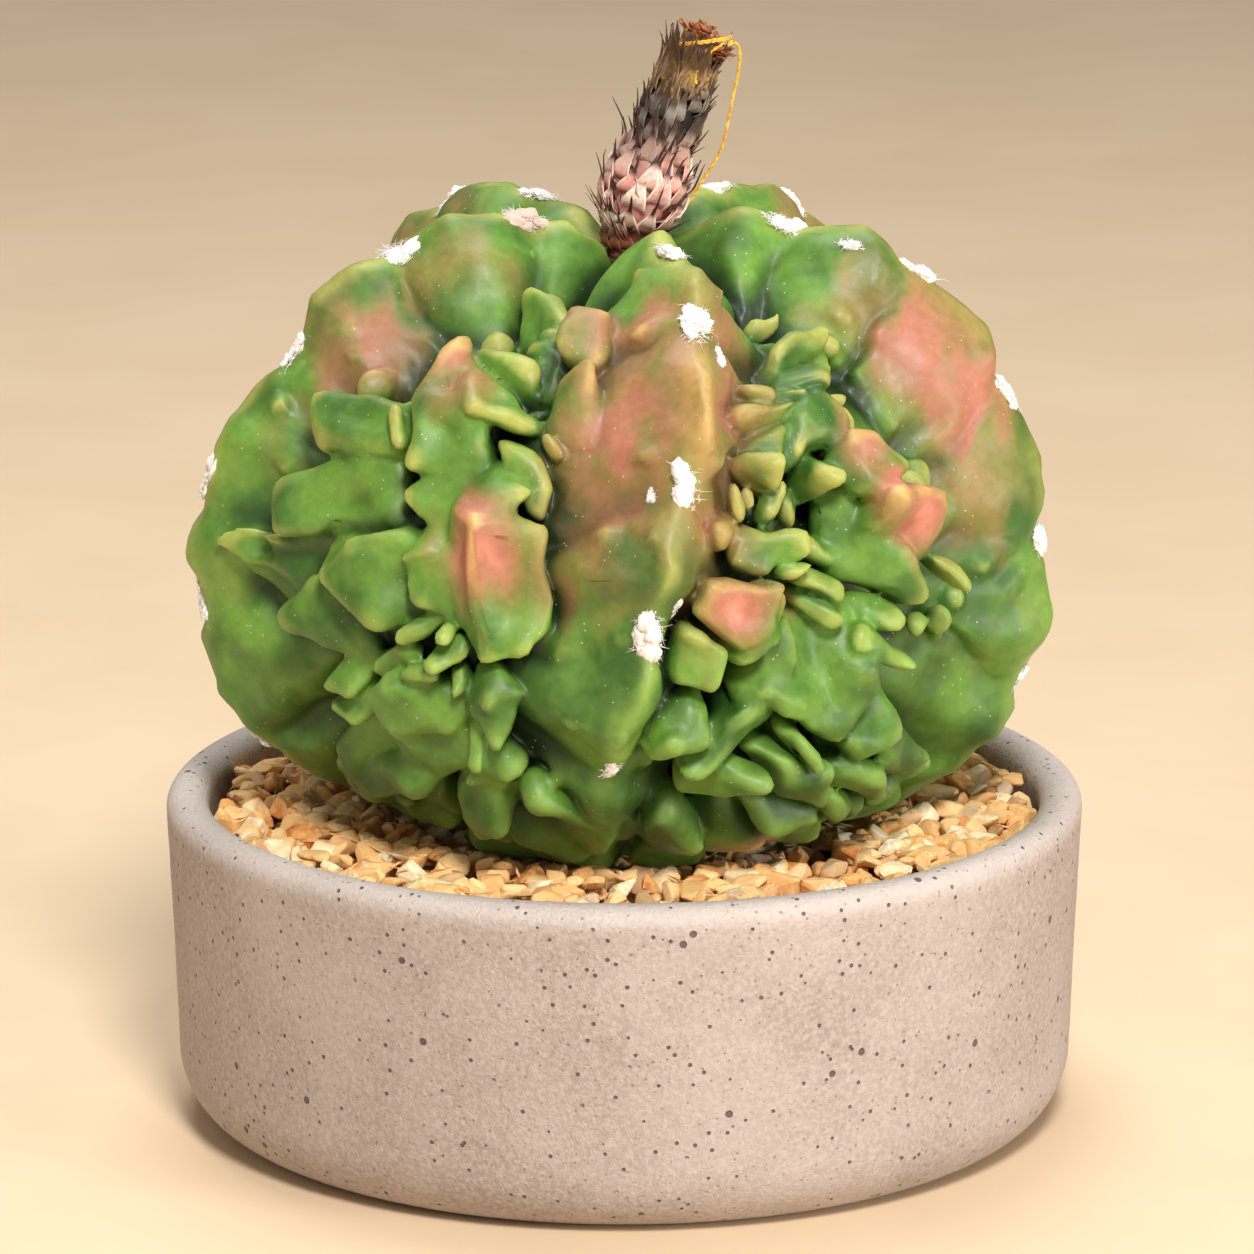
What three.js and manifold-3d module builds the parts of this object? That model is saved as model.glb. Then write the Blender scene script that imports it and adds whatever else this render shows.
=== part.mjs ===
// Potted Fukuryu bishop's cap cactus with a withered flower, on gravel in a concrete bowl.
// Millimetres, +Z up. The origin is the middle of the pot's underside, and -Y is the front.
import * as THREE from 'three';
import { ConvexGeometry } from 'three/addons/geometries/ConvexGeometry.js';
import { mergeVertices } from 'three/addons/utils/BufferGeometryUtils.js';
import Module from 'manifold-3d';

const wasm = await Module();
wasm.setup();

// Pot
const POT_RADIUS = 75;
const POT_HEIGHT = 55.4;
const POT_WALL = 7;
const POT_BASE_RADIUS = 73.3;
const POT_CORNER = 12;
const POT_FLOOR = 8;
const POT_RIM_ROUND = 3.2;
const DRAIN_RADIUS = 6;
const ROUND_SIDES = 40;

// Filling
const CLEARANCE = 0.3;
const SOIL_TOP = 42;
const GRAVEL_TOP = 49.8;
const GRAVEL_EDGE_TOP = 48.4;
const ROOT_HOLE_RADIUS = 21;
const ROOT_HOLE_FLOOR = 24;
const CHIP_SIZE = 5;
const CHIP_COUNT = 122;
const CHIP_SINK = 1.2;
const CHIP_RISE = [1.6, 3.4];
const CHIP_TILT = 1.4;
const CHIP_INNER_RADIUS = 35;
const GOLDEN_TURN = 137.5;

// Plant: each rib is a disc round an arc centre that lies off the plant's middle line
const ARC_RADIUS = 22;
const ARC_HEIGHT = 104;
const RIB_ROUND = 2.4;
const RIB_TAPER = 0.36;
const RIB_ENVELOPE = 56.2;
const FLOWER_SEAT_RADIUS = 3.8;
const FLOWER_SEAT_FLOOR = 142.5;

const RAD = Math.PI / 180;

// Seeded draw
function drawFrom(seed) {
  let state = seed;
  return (low, high) => {
    state = (state + 0x6d2b79f5) | 0;
    let t = Math.imul(state ^ (state >>> 15), 1 | state);
    t = (t + Math.imul(t ^ (t >>> 7), 61 | t)) ^ t;
    const unit = ((t ^ (t >>> 14)) >>> 0) / 4294967296;
    return low + (high - low) * unit;
  };
}

// Solids from geometries and back
function solid(geometry) {
  const bare = geometry.clone();
  bare.deleteAttribute('normal');
  bare.deleteAttribute('uv');
  const merged = mergeVertices(bare, 1e-4);
  const corners = merged.index.array;
  const places = merged.attributes.position;
  const faces = [];
  let volume = 0;
  const [a, b, c] = [new THREE.Vector3(), new THREE.Vector3(), new THREE.Vector3()];
  for (let i = 0; i < corners.length; i += 3) {
    const [p, q, r] = [corners[i], corners[i + 1], corners[i + 2]];
    if (p === q || q === r || r === p) continue;
    faces.push(p, q, r);
    a.fromBufferAttribute(places, p);
    b.fromBufferAttribute(places, q);
    c.fromBufferAttribute(places, r);
    volume += a.dot(b.cross(c));
  }
  if (volume < 0) faces.reverse();
  return new wasm.Manifold(new wasm.Mesh({
    numProp: 3,
    vertProperties: new Float32Array(places.array),
    triVerts: new Uint32Array(faces),
  }));
}

function geometry(body) {
  const mesh = body.getMesh();
  const result = new THREE.BufferGeometry();
  result.setAttribute('position', new THREE.BufferAttribute(mesh.vertProperties, 3));
  result.setIndex(new THREE.BufferAttribute(mesh.triVerts, 1));
  result.computeVertexNormals();
  return result;
}

function joined(solids) {
  let level = solids;
  while (level.length > 1) {
    const next = [];
    for (let i = 0; i < level.length; i += 2) {
      next.push(i + 1 < level.length ? level[i].add(level[i + 1]) : level[i]);
    }
    level = next;
  }
  return level[0];
}

// A body with its sealed hollows filled
function filled(body) {
  return joined(body.decompose().filter((shell) => shell.volume() > 0));
}

// A turned solid from (radius, height) pairs that start and end on the middle line
function turned(profile, sides = 48) {
  const points = profile.map(([radius, height]) => new THREE.Vector2(radius, height));
  return solid(new THREE.LatheGeometry(points, sides).rotateX(Math.PI / 2));
}

function hull(points) {
  return solid(new ConvexGeometry(points));
}

// Places on the plant: turn round it from the front, climb above the arc centre, reach from it
function outward(turn) {
  return new THREE.Vector3(Math.sin(turn * RAD), -Math.cos(turn * RAD), 0);
}

function onPlant(turn, climb, reach, side = 0) {
  const out = outward(turn);
  const across = new THREE.Vector3(-out.y, out.x, 0);
  const place = out.clone().multiplyScalar(ARC_RADIUS + reach * Math.cos(climb * RAD));
  place.addScaledVector(across, side);
  place.z = ARC_HEIGHT + reach * Math.sin(climb * RAD);
  return place;
}

function between(table, at) {
  const last = table.length - 1;
  if (at <= table[0][0]) return table[0][1];
  if (at >= table[last][0]) return table[last][1];
  const above = table.findIndex(([key]) => key >= at);
  const [[keyA, valueA], [keyB, valueB]] = [table[above - 1], table[above]];
  return valueA + (valueB - valueA) * (at - keyA) / (keyB - keyA);
}

// Ribs: the turn of each, its lean with height, its outline and where its areoles sit
const PLAIN_OUTLINE = [[-90, 54.5], [-60, 55], [-45, 54.5], [-33, 52.5], [-20, 50.3], [-5, 48.3],
  [10, 47.2], [30, 47], [60, 48], [90, 47.5], [120, 44], [180, 30]];
const RIBS = [
  { turn: 4.5, lean: 11, areoles: [83, 56, 22, -7, -35], outline: [[-90, 54.5], [-60, 54],
    [-30, 52], [0, 48.5], [45, 48], [90, 47.5], [120, 44], [180, 30]] },
  { turn: 80, lean: 0, areoles: [85, 57, 27, -5, -32], outline: [[-90, 55], [-55, 55.8], [-39, 54.2],
    [-25, 51.2], [-10, 48.3], [3, 47], [18, 45.8], [36, 47], [71, 48.5], [90, 48], [120, 44], [180, 30]] },
  { turn: -78, lean: 0, areoles: [97, 70, 39, 8, -17, -45], outline: [[-90, 53.5], [-41, 54],
    [-33, 53.5], [-18, 50.5], [-5, 49.6], [14, 46], [41, 43], [69, 46], [90, 49], [115, 46], [180, 30]] },
  { turn: 148, lean: -6, areoles: [88, 60, 31, 3, -24, -50], outline: PLAIN_OUTLINE },
  { turn: 218, lean: 5, areoles: [92, 64, 36, 6, -22, -48], outline: PLAIN_OUTLINE },
];
const AREOLE_HALF = 3.2;
const AREOLE_RISE = 2.2;
const CREST_WAVE = 1.2;
const CREST_WAVE_ARC = 6;
const CHIN_ARC = 10;

// The crest dips at each areole and swells into a chin just above it
function ribReach(rib, climb) {
  const swell = (at) => Math.exp(-(((climb - at) / CREST_WAVE_ARC) ** 2));
  const wave = rib.areoles.reduce((sum, at) => sum + swell(at + CHIN_ARC) - swell(at), 0);
  return between(rib.outline, climb) + CREST_WAVE * wave;
}

const RIB_STEPS = 32;
const RIB_OUTER_STEPS = 26;
const RIB_BOTTOM = -98;
const RIB_OUTER_ARC = 212;
// Depths below the crest of the rows on each face of a rib
const RIB_DEPTHS = [1.2, 7, 20];

function ribClimb(step) {
  const outer = RIB_BOTTOM + RIB_OUTER_ARC * step / RIB_OUTER_STEPS;
  if (step <= RIB_OUTER_STEPS) return outer;
  const past = (step - RIB_OUTER_STEPS) / (RIB_STEPS - RIB_OUTER_STEPS);
  return RIB_BOTTOM + RIB_OUTER_ARC + (360 - RIB_OUTER_ARC) * past;
}

function ribHalfWidth(depth) {
  return RIB_ROUND * Math.sqrt(depth) + RIB_TAPER * depth;
}

// Each row is its side of the rib and how deep it lies; a pole lies at the arc centre
function ribRows() {
  const face = (side) => RIB_DEPTHS.map((depth) => ({ side, depth }));
  return [{ side: 1, pole: true }, ...face(1).reverse(), ...face(-1), { side: -1, pole: true }];
}

function ribDisc(rib) {
  const rows = ribRows();
  const disc = new THREE.SphereGeometry(1, RIB_STEPS, rows.length - 1);
  const places = disc.attributes.position;
  const poleDepth = between(rib.outline, 0);
  rows.forEach(({ side, depth, pole }, row) => {
    for (let step = 0; step <= RIB_STEPS; step += 1) {
      const climb = ribClimb(step % RIB_STEPS);
      const turn = pole ? rib.turn : ribTurn(rib, climb);
      const reach = pole ? 0 : ribReach(rib, climb) - depth + RIB_DEPTHS[0];
      const place = onPlant(turn, climb, reach, side * ribHalfWidth(pole ? poleDepth : depth));
      places.setXYZ(row * (RIB_STEPS + 1) + step, place.x, place.y, place.z);
    }
  });
  return solid(disc);
}

function ribTurn(rib, climb) {
  return rib.turn + rib.lean * Math.sin(climb * RAD);
}

// Four corners of a square that faces outward
function square(turn, climb, reach, half) {
  return [[-1, -1], [1, -1], [1, 1], [-1, 1]].map(([across, along]) => {
    return onPlant(turn, climb + along * half / reach / RAD, reach, across * half);
  });
}

// Woolly areole cushions on the crest
function ribCushions(rib) {
  return rib.areoles.map((climb) => {
    const turn = ribTurn(rib, climb);
    const reach = ribReach(rib, climb);
    return hull([
      ...square(turn, climb, reach + AREOLE_RISE, 0.6 * AREOLE_HALF),
      ...square(turn, climb, reach, AREOLE_HALF),
      ...square(turn, climb, reach - 2 * AREOLE_RISE, 0.7 * AREOLE_HALF),
    ]);
  });
}

// Folds that crowd the furrows. A fold is [bluntness, tip, tip, ...], and a tip is its turn, its
// climb and how far it lies below the plain outline. Each fold runs from its tips to the core.
const LEFT_FURROW = { turn: -37, width: 82 };
const RIGHT_FURROW = { turn: 42, width: 76 };
const LEFT_FOLDS = [
  [3.2, [-57, 33, 4], [-52, 27, 4], [-40, 38, 6], [-39, 30, 6]],
  [3.2, [-33, 53, 4], [-34, 38, 3], [-32, 27, 4], [-23, 24, 5], [-24, 39, 2]],
  [2.8, [-24, 39, 2], [-14, 36, 6], [-23, 26, 6], [-30, 50, 7]],
  [2.8, [-31, 55, 8], [-21, 52, 8], [-16, 46, 9]],
  [4.0, [-58, 12, 4], [-56, 6, 4], [-43, 25, 7], [-49, 5, 5], [-40, 10, 6]],
  [3.0, [-46, -4, 4], [-41, 2, 4], [-38, -8, 4], [-34, 6, 6], [-28, -5, 7]],
  [3.5, [-55, -15, 4], [-51, -8, 6], [-45, -19, 6]],
  [2.6, [-49, -27, 6], [-45, -28, 6], [-44, -20, 7]],
  [2.8, [-48, -34, 6], [-45, -36, 6], [-44, -30, 8]],
  [3.0, [-39, -21, 6], [-34, -16, 6]],
  [3.0, [-32, -12, 4], [-26, -9, 4]],
  [3.0, [-30, -19, 4], [-23, -14, 3]],
  [4.4, [-38, -25, 4], [-34, -31, 3], [-26, -27, 5], [-30, -31, 4]],
  [4.2, [-54, -48, 5], [-46, -38, 6], [-50, -56, 4], [-33, -43, 5], [-38, -50, 4]],
  [3.2, [-36, -36, 6], [-31, -42, 6], [-24, -36, 6]],
  [3.8, [-36, -53, 5], [-42, -60, 4], [-35, -60, 4]],
  [2.6, [-22, -37, 2], [-22, -31, 4]],
  [2.4, [-19, 25, 4], [-25, 15, 4], [-20, 14, 1], [-12, 12, 4]],
  [2.4, [-20, 14, 1], [-12, 12, 4], [-13, -8, 4], [-19, -14, 2], [-24, -4, 4], [-16, 6, 0]],
  [2.4, [-19, -19, 4], [-22, -25, 4], [-18, -32, 2], [-15, -23, 4], [-18, -24, 1]],
  [3.4, [-28, -60, 2], [-22, -53, 2], [-26, -45, 4], [-19, -44, 4]],
  [3.2, [-37, 84, 10], [-29, 73, 11], [-19, 76, 10], [-21, 67, 12]],
  [3.0, [-11, 67, 6], [-13, 59, 6], [-6, 60, 6]],
  [4.4, [-7, 50, 4], [-11, 44, 6], [-9, 37, 5]],
  [3.2, [-34, 18, 6], [-28, 21, 5], [-24, 19, 6], [-28, 14, 5]],
  [3.4, [-32, 4, 4], [-29, 11, 5], [-26, 13, 6]],
  [3.5, [-30, 2, 3], [-27, -4, 4], [-25, -7, 5]],
  [4.5, [-24, -66, 3], [-15, -64, 3], [-13, -48, 2], [-6, -54, 2]],
];
const RIGHT_FOLDS = [
  [3.0, [47, 61, 8], [40, 59, 8], [31, 53, 9]],
  [3.4, [41, 50, 8], [38, 44, 6], [33, 48, 7]],
  [3.2, [28, 39, 6], [20, 39, 4], [23, 35, 5], [27, 35, 6]],
  [3.2, [26, 31, 6], [21, 30, 5]],
  [3.2, [22, 25, 2], [19, 26, 4], [20, 21, 5]],
  [3.4, [13, 13, 2], [15, 19, 3]],
  [3.2, [36, 38, 6], [38, 32, 5], [31, 37, 6], [30, 31, 6]],
  [3.2, [31, 26, 6], [33, 22, 4], [29, 21, 8]],
  [2.8, [38, 28, 4], [42, 27, 4], [45, 21, 4], [35, 22, 6], [39, 18, 3]],
  [3.4, [51, 12, 4], [50, 1, 4], [41, 14, 2], [40, 4, 4]],
  [5.0, [37, 3, 8], [47, -7, 6], [37, 14, 8], [45, 0, 6]],
  [2.4, [54, -5, 2], [50, -1, 4]],
  [2.8, [16, 13, 4], [26, 9, 4], [21, 5, 4], [17, 8, 3]],
  [3.6, [33, 5, 10], [30, -3, 6]],
  [3.0, [12, 2, 2], [21, 0, 2], [15, -9, 2], [11, -3, 2], [19, -7, 2]],
  [3.0, [22, -4, 4], [16, -13, 4], [20, -11, 4]],
  [2.8, [23, -11, 6], [17, -26, 6], [20, -17, 5]],
  [3.2, [12, -12, 2], [8, -10, 2], [8, -16, 1], [11, -17, 2]],
  [2.8, [6, -25, 2], [7, -30, 0], [11, -29, 2], [9, -21, 3]],
  [2.8, [21, -29, 4], [19, -25, 4], [11, -35, 2], [17, -32, 3]],
  [4.0, [32, -33, 4], [37, -27, 5], [20, -23, 4], [25, -14, 6], [33, -11, 7]],
  [2.6, [44, -21, 4], [38, -18, 4], [43, -13, 6]],
  [3.0, [37, -39, 4], [44, -36, 4], [43, -31, 6]],
  [3.5, [60, -54, 4], [56, -48, 4], [46, -40, 6]],
  [2.4, [28, -37, 0], [24, -33, 3]],
  [3.0, [30, -41, 2], [33, -49, 2], [19, -38, 4]],
  [3.0, [52, -55, 2], [43, -46, 2], [35, -44, 4]],
  [2.8, [20, -39, 0], [11, -44, 2]],
  [3.4, [27, -54, 2], [21, -51, 3], [33, -54, 2]],
  [3.2, [4, -45, 1], [9, -45, 2], [6, -37, 1]],
];

const FOLD_ROOT_REACH = 20;
const TIP_SHARE = 0.75;

function fold([radius, ...tips]) {
  const points = [];
  let [turnSum, climbSum] = [0, 0];
  for (const [turn, climb, sink] of tips) {
    const reach = between(PLAIN_OUTLINE, climb) - sink;
    points.push(...square(turn, climb, reach, TIP_SHARE * radius));
    turnSum += turn / tips.length;
    climbSum += climb / tips.length;
  }
  points.push(onPlant(turnSum, climbSum, FOLD_ROOT_REACH));
  return hull(points);
}

// The hidden furrows carry the same kinds of folds, mirrored and shifted by a seeded draw
const BACK_FURROWS = [
  { turn: 114, width: 68, folds: LEFT_FOLDS, from: LEFT_FURROW, mirror: 1, seed: 11 },
  { turn: 183, width: 70, folds: RIGHT_FOLDS, from: RIGHT_FURROW, mirror: -1, seed: 23 },
  { turn: -110, width: 64, folds: LEFT_FOLDS, from: LEFT_FURROW, mirror: -1, seed: 37 },
];
const BACK_SHIFT = 3;
const BACK_LEAST_TIPS = 3;
const BACK_SKIP = 2;
const BACK_EXTRA_RADIUS = 1;

function backFolds({ turn, width, folds, from, mirror, seed }) {
  const draw = drawFrom(seed);
  const broad = folds.filter(([, ...tips]) => tips.length >= BACK_LEAST_TIPS);
  const kept = broad.filter((_, index) => index % BACK_SKIP !== BACK_SKIP - 1);
  return kept.map(([radius, ...tips]) => {
    const [turned, climbed] = [draw(-BACK_SHIFT, BACK_SHIFT), draw(-BACK_SHIFT, BACK_SHIFT)];
    const moved = tips.map(([tipTurn, climb, sink]) => [
      turn + turned + mirror * (tipTurn - from.turn) * width / from.width,
      climb + climbed,
      sink,
    ]);
    return fold([radius + BACK_EXTRA_RADIUS, ...moved]);
  });
}

// Core under the folds and the taproot, as (radius, height) pairs
const CORE_PROFILE = [[0, 54], [26, 54], [41, 70], [50, 90], [52, 106], [48, 120], [37, 131],
  [22, 136], [0, 136]];
const TAPROOT_PROFILE = [[0, ROOT_HOLE_FLOOR + 1], [7, ROOT_HOLE_FLOOR + 1],
  [ROOT_HOLE_RADIUS - 3, 38], [ROOT_HOLE_RADIUS - 1, GRAVEL_TOP + 3], [0, GRAVEL_TOP + 3]];
const CUT_RADIUS = 100;
const CUT_TOP = 170;
const PLANT_SIDES = 20;

// Cactus body: core, ribs, folds and areole cushions, flat below where it sits on the gravel
function cactusBody() {
  const parts = [turned(CORE_PROFILE, PLANT_SIDES)];
  for (const rib of RIBS) parts.push(ribDisc(rib), ...ribCushions(rib));
  for (const each of [...LEFT_FOLDS, ...RIGHT_FOLDS]) parts.push(fold(each));
  for (const furrow of BACK_FURROWS) parts.push(...backFolds(furrow));
  const seatTop = GRAVEL_TOP + CLEARANCE;
  const under = turned([[0, 0], [CUT_RADIUS, 0], [CUT_RADIUS, seatTop], [0, seatTop]], PLANT_SIDES);
  const flowerSeat = turned([[0, FLOWER_SEAT_FLOOR], [FLOWER_SEAT_RADIUS, FLOWER_SEAT_FLOOR],
    [FLOWER_SEAT_RADIUS, 146], [8, 148], [11, 154], [11, CUT_TOP], [0, CUT_TOP]], PLANT_SIDES);
  const taproot = turned(TAPROOT_PROFILE, PLANT_SIDES);
  return filled(joined(parts).subtract(under).subtract(flowerSeat).add(taproot));
}

// Pot: a shallow cylinder with rounded foot and rim, and a drain hole
function arcPoints(centre, height, radius, start, end, steps) {
  const points = [];
  for (let i = 0; i <= steps; i += 1) {
    const angle = (start + (end - start) * i / steps) * RAD;
    points.push([centre + radius * Math.cos(angle), height + radius * Math.sin(angle)]);
  }
  return points;
}

const POT_INNER = POT_RADIUS - POT_WALL;

function pot() {
  const profile = [
    [DRAIN_RADIUS, 0],
    ...arcPoints(POT_BASE_RADIUS - POT_CORNER, POT_CORNER, POT_CORNER, -90, 0, 4),
    ...arcPoints(POT_RADIUS - POT_RIM_ROUND, POT_HEIGHT - POT_RIM_ROUND, POT_RIM_ROUND, 0, 90, 3),
    ...arcPoints(POT_INNER + POT_RIM_ROUND, POT_HEIGHT - POT_RIM_ROUND, POT_RIM_ROUND, 90, 180, 3),
    ...arcPoints(POT_INNER - POT_CORNER, POT_FLOOR + POT_CORNER, POT_CORNER, 0, -90, 3),
    [DRAIN_RADIUS, POT_FLOOR],
    [DRAIN_RADIUS, 0],
  ];
  return turned(profile, ROUND_SIDES);
}

function pottingSoil() {
  const radius = POT_INNER - CLEARANCE;
  const floor = POT_FLOOR + CLEARANCE;
  return turned([
    [0, floor],
    ...arcPoints(radius - POT_CORNER, floor + POT_CORNER, POT_CORNER, -90, 0, 3),
    [radius, SOIL_TOP],
    [ROOT_HOLE_RADIUS - 0.4, SOIL_TOP],
    [ROOT_HOLE_RADIUS - 2.6, 37],
    [8, ROOT_HOLE_FLOOR],
    [0, ROOT_HOLE_FLOOR],
  ], ROUND_SIDES);
}

// Gravel: a ring with a plain hole for the plant, covered with angular chips sunk into it
function chip(centre, size, top, draw) {
  const corners = [];
  const spin = draw(0, 90);
  for (let corner = 0; corner < 4; corner += 1) {
    const angle = (spin + corner * 90 + draw(-22, 22)) * RAD;
    const [x, y] = [Math.cos(angle) * size, Math.sin(angle) * size];
    const narrow = draw(0.3, 0.8);
    corners.push(new THREE.Vector3(centre.x + x, centre.y + y, GRAVEL_EDGE_TOP - CHIP_SINK));
    if (corner < 3) {
      const rise = top - draw(0, CHIP_TILT);
      corners.push(new THREE.Vector3(centre.x + x * narrow, centre.y + y * narrow, rise));
    }
  }
  return hull(corners);
}

function gravelTopDressing() {
  const draw = drawFrom(5);
  const wall = POT_INNER - CLEARANCE;
  const bed = SOIL_TOP + CLEARANCE;
  const parts = [turned([
    [ROOT_HOLE_RADIUS, bed],
    [wall, bed],
    [wall, GRAVEL_EDGE_TOP],
    [CHIP_INNER_RADIUS, GRAVEL_EDGE_TOP],
    [CHIP_INNER_RADIUS - 4, GRAVEL_TOP],
    [ROOT_HOLE_RADIUS, GRAVEL_TOP],
    [ROOT_HOLE_RADIUS, bed],
  ], ROUND_SIDES)];
  const outer = wall - CHIP_SIZE;
  for (let i = 0; i < CHIP_COUNT; i += 1) {
    const share = (i + 0.5) / CHIP_COUNT;
    const radius = Math.sqrt(CHIP_INNER_RADIUS ** 2 + (outer ** 2 - CHIP_INNER_RADIUS ** 2) * share);
    const centre = outward(i * GOLDEN_TURN + draw(-2, 2)).multiplyScalar(radius);
    const fromArc = Math.max(radius + CHIP_SIZE - ARC_RADIUS, 0);
    const roof = ARC_HEIGHT - Math.sqrt(RIB_ENVELOPE ** 2 - fromArc ** 2) - CLEARANCE;
    const top = Math.min(roof, GRAVEL_EDGE_TOP + draw(...CHIP_RISE));
    parts.push(chip(centre, CHIP_SIZE * draw(0.8, 1), top, draw));
  }
  return joined(parts);
}

// Withered flower: a leaning line from the crown, with stacked scales round the fruit and tube
const STALK_LINE = new THREE.CatmullRomCurve3([
  new THREE.Vector3(-0.3, 0, FLOWER_SEAT_FLOOR + CLEARANCE),
  new THREE.Vector3(0.6, 0, 148),
  new THREE.Vector3(3.4, 0, 155.5),
  new THREE.Vector3(6.0, 0, 162.4),
  new THREE.Vector3(9.4, 0, 172),
  new THREE.Vector3(13, 0, 181),
]);
const FRUIT_RADII = [[143.6, 3.2], [147.6, 3.4], [150.5, 5.6], [154, 6.4], [158, 6.2], [161.6, 4.4]];
const TUBE_RADII = [[162.2, 4.6], [165, 5.2], [169, 4.6], [172.6, 4.7], [176, 3.6], [179.8, 3.1]];

// Place on the line at a height, with the line's direction there
const SEARCH_STEPS = 24;

function stalkAt(height) {
  let [low, high] = [0, 1];
  for (let i = 0; i < SEARCH_STEPS; i += 1) {
    const middle = (low + high) / 2;
    if (STALK_LINE.getPoint(middle).z < height) low = middle;
    else high = middle;
  }
  return { place: STALK_LINE.getPoint(low), along: STALK_LINE.getTangent(low) };
}

function stalkPoint(height, turn, radius) {
  const { place, along } = stalkAt(height);
  const right = new THREE.Vector3(0, -1, 0).cross(along).normalize();
  const front = along.clone().cross(right);
  const spoke = right.multiplyScalar(Math.cos(turn * RAD)).addScaledVector(front, Math.sin(turn * RAD));
  return place.clone().addScaledVector(spoke, radius);
}

function stalkBody(radii, rings, sides) {
  const [start, end] = [radii[0][0], radii[radii.length - 1][0]];
  const shape = new THREE.CylinderGeometry(1, 1, 1, sides, rings);
  const places = shape.attributes.position;
  for (let i = 0; i < places.count; i += 1) {
    const height = start + (end - start) * (places.getY(i) + 0.5);
    const spread = Math.hypot(places.getX(i), places.getZ(i));
    const turn = Math.atan2(places.getZ(i), places.getX(i)) / RAD;
    const place = stalkPoint(height, turn, spread * between(radii, height));
    places.setXYZ(i, place.x, place.y, place.z);
  }
  return solid(shape);
}

// Scales in a spiral: each a flat-backed wedge whose tip stands proud above its foot
function scales(radii, count, length, width, proud, seed) {
  const draw = drawFrom(seed);
  const [start, end] = [radii[0][0], radii[radii.length - 1][0]];
  const result = [];
  for (let i = 0; i < count; i += 1) {
    const foot = start + (end - start - length * 0.6) * (i + 0.5) / count;
    const turn = i * GOLDEN_TURN;
    const radius = between(radii, foot);
    const half = width / radius / RAD / 2;
    const tipTop = foot + length * draw(0.85, 1.1);
    const tipRadius = between(radii, tipTop) + proud * draw(0.8, 1.2);
    result.push(hull([
      stalkPoint(foot, turn, radius * 0.6),
      stalkPoint(foot, turn - half, radius * 0.9),
      stalkPoint(foot, turn + half, radius * 0.9),
      stalkPoint(foot + length * 0.4, turn - half * 0.8, radius * 0.9 + proud * 0.5),
      stalkPoint(foot + length * 0.4, turn + half * 0.8, radius * 0.9 + proud * 0.5),
      stalkPoint(foot + length * 0.5, turn, radius * 0.7),
      stalkPoint(tipTop, turn, tipRadius),
    ]));
  }
  return result;
}

function fruit() {
  return joined([stalkBody(FRUIT_RADII, 7, 10), ...scales(FRUIT_RADII.slice(1), 18, 4.4, 4.4, 0.9, 71)]);
}

function driedFlower() {
  return joined([stalkBody(TUBE_RADII, 6, 10), ...scales(TUBE_RADII.slice(0, 4), 18, 4.8, 3.6, 1, 73)]);
}

// Petals shrivelled to a tuft of pointed blades in the mouth of the tube
const PETAL_FOOT = 180.1;
const PETAL_COUNT = 6;

function witheredPetals() {
  const draw = drawFrom(79);
  const parts = [];
  for (let i = 0; i < PETAL_COUNT; i += 1) {
    const turn = i * 360 / PETAL_COUNT + draw(-12, 12);
    const lean = draw(0.6, 2.2);
    const tip = stalkPoint(PETAL_FOOT + 2, turn, lean);
    tip.z = draw(182.8, 184);
    parts.push(hull([
      stalkPoint(PETAL_FOOT, turn - 34, 2.6),
      stalkPoint(PETAL_FOOT, turn + 34, 2.6),
      stalkPoint(PETAL_FOOT, turn + 180, 1.2),
      stalkPoint(PETAL_FOOT + 1.4, turn - 26, lean + 1.9),
      stalkPoint(PETAL_FOOT + 1.4, turn + 26, lean + 1.7),
      tip,
    ]));
  }
  return joined(parts);
}

// Yellow marking thread: wound round the head of the tube, with a loose end down its right side
// to the foot of the fruit
const THREAD_RADIUS = 0.3;
const WRAP_HEIGHT = 178.8;
const WRAP_INNER = 4.4;
const WRAP_OUTER = 5.1;
const WRAP_HALF_HEIGHT = 0.6;
const THREAD_POINTS = [
  [17.7, -0.5, 178.9], [18.3, -0.8, 178.2], [18.6, -1.1, 176.8], [18.4, -1.4, 175],
  [18, -1.6, 172.6], [17.4, -1.8, 170], [16.7, -2, 166.4], [15.9, -2.2, 162.8],
  [14.8, -2.2, 160.2], [13.6, -2.1, 158.2], [12.3, -1.8, 156.1], [10.9, -1.2, 153.6],
  [9.6, -0.3, 151.4], [8.4, 0.8, 149.7], [7.2, 2, 148.5], [5.9, 3.2, 147.6],
];
const THREAD_LINE = new THREE.CatmullRomCurve3(THREAD_POINTS.map((at) => new THREE.Vector3(...at)));
const THREAD_STEPS = 28;

function threadWrap() {
  const { place: middle } = stalkAt(WRAP_HEIGHT);
  return turned([
    [WRAP_INNER, -WRAP_HALF_HEIGHT],
    [WRAP_OUTER, -WRAP_HALF_HEIGHT],
    [WRAP_OUTER, WRAP_HALF_HEIGHT],
    [WRAP_INNER, WRAP_HALF_HEIGHT],
    [WRAP_INNER, -WRAP_HALF_HEIGHT],
  ], 16).translate([middle.x, middle.y, WRAP_HEIGHT]);
}

function circleShape(radius, sides) {
  const shape = new THREE.Shape();
  for (let i = 0; i < sides; i += 1) {
    const angle = i * 2 * Math.PI / sides;
    const [x, y] = [radius * Math.cos(angle), radius * Math.sin(angle)];
    if (i === 0) shape.moveTo(x, y);
    else shape.lineTo(x, y);
  }
  shape.closePath();
  return shape;
}

function markingThread() {
  return solid(new THREE.ExtrudeGeometry(circleShape(THREAD_RADIUS, 8), {
    steps: THREAD_STEPS,
    extrudePath: THREAD_LINE,
    bevelEnabled: false,
  }));
}

// Materials from the photograph's colours
function finish(color, roughness) {
  return new THREE.MeshStandardMaterial({ color, roughness, metalness: 0 });
}

const plant = new THREE.Group();

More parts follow.
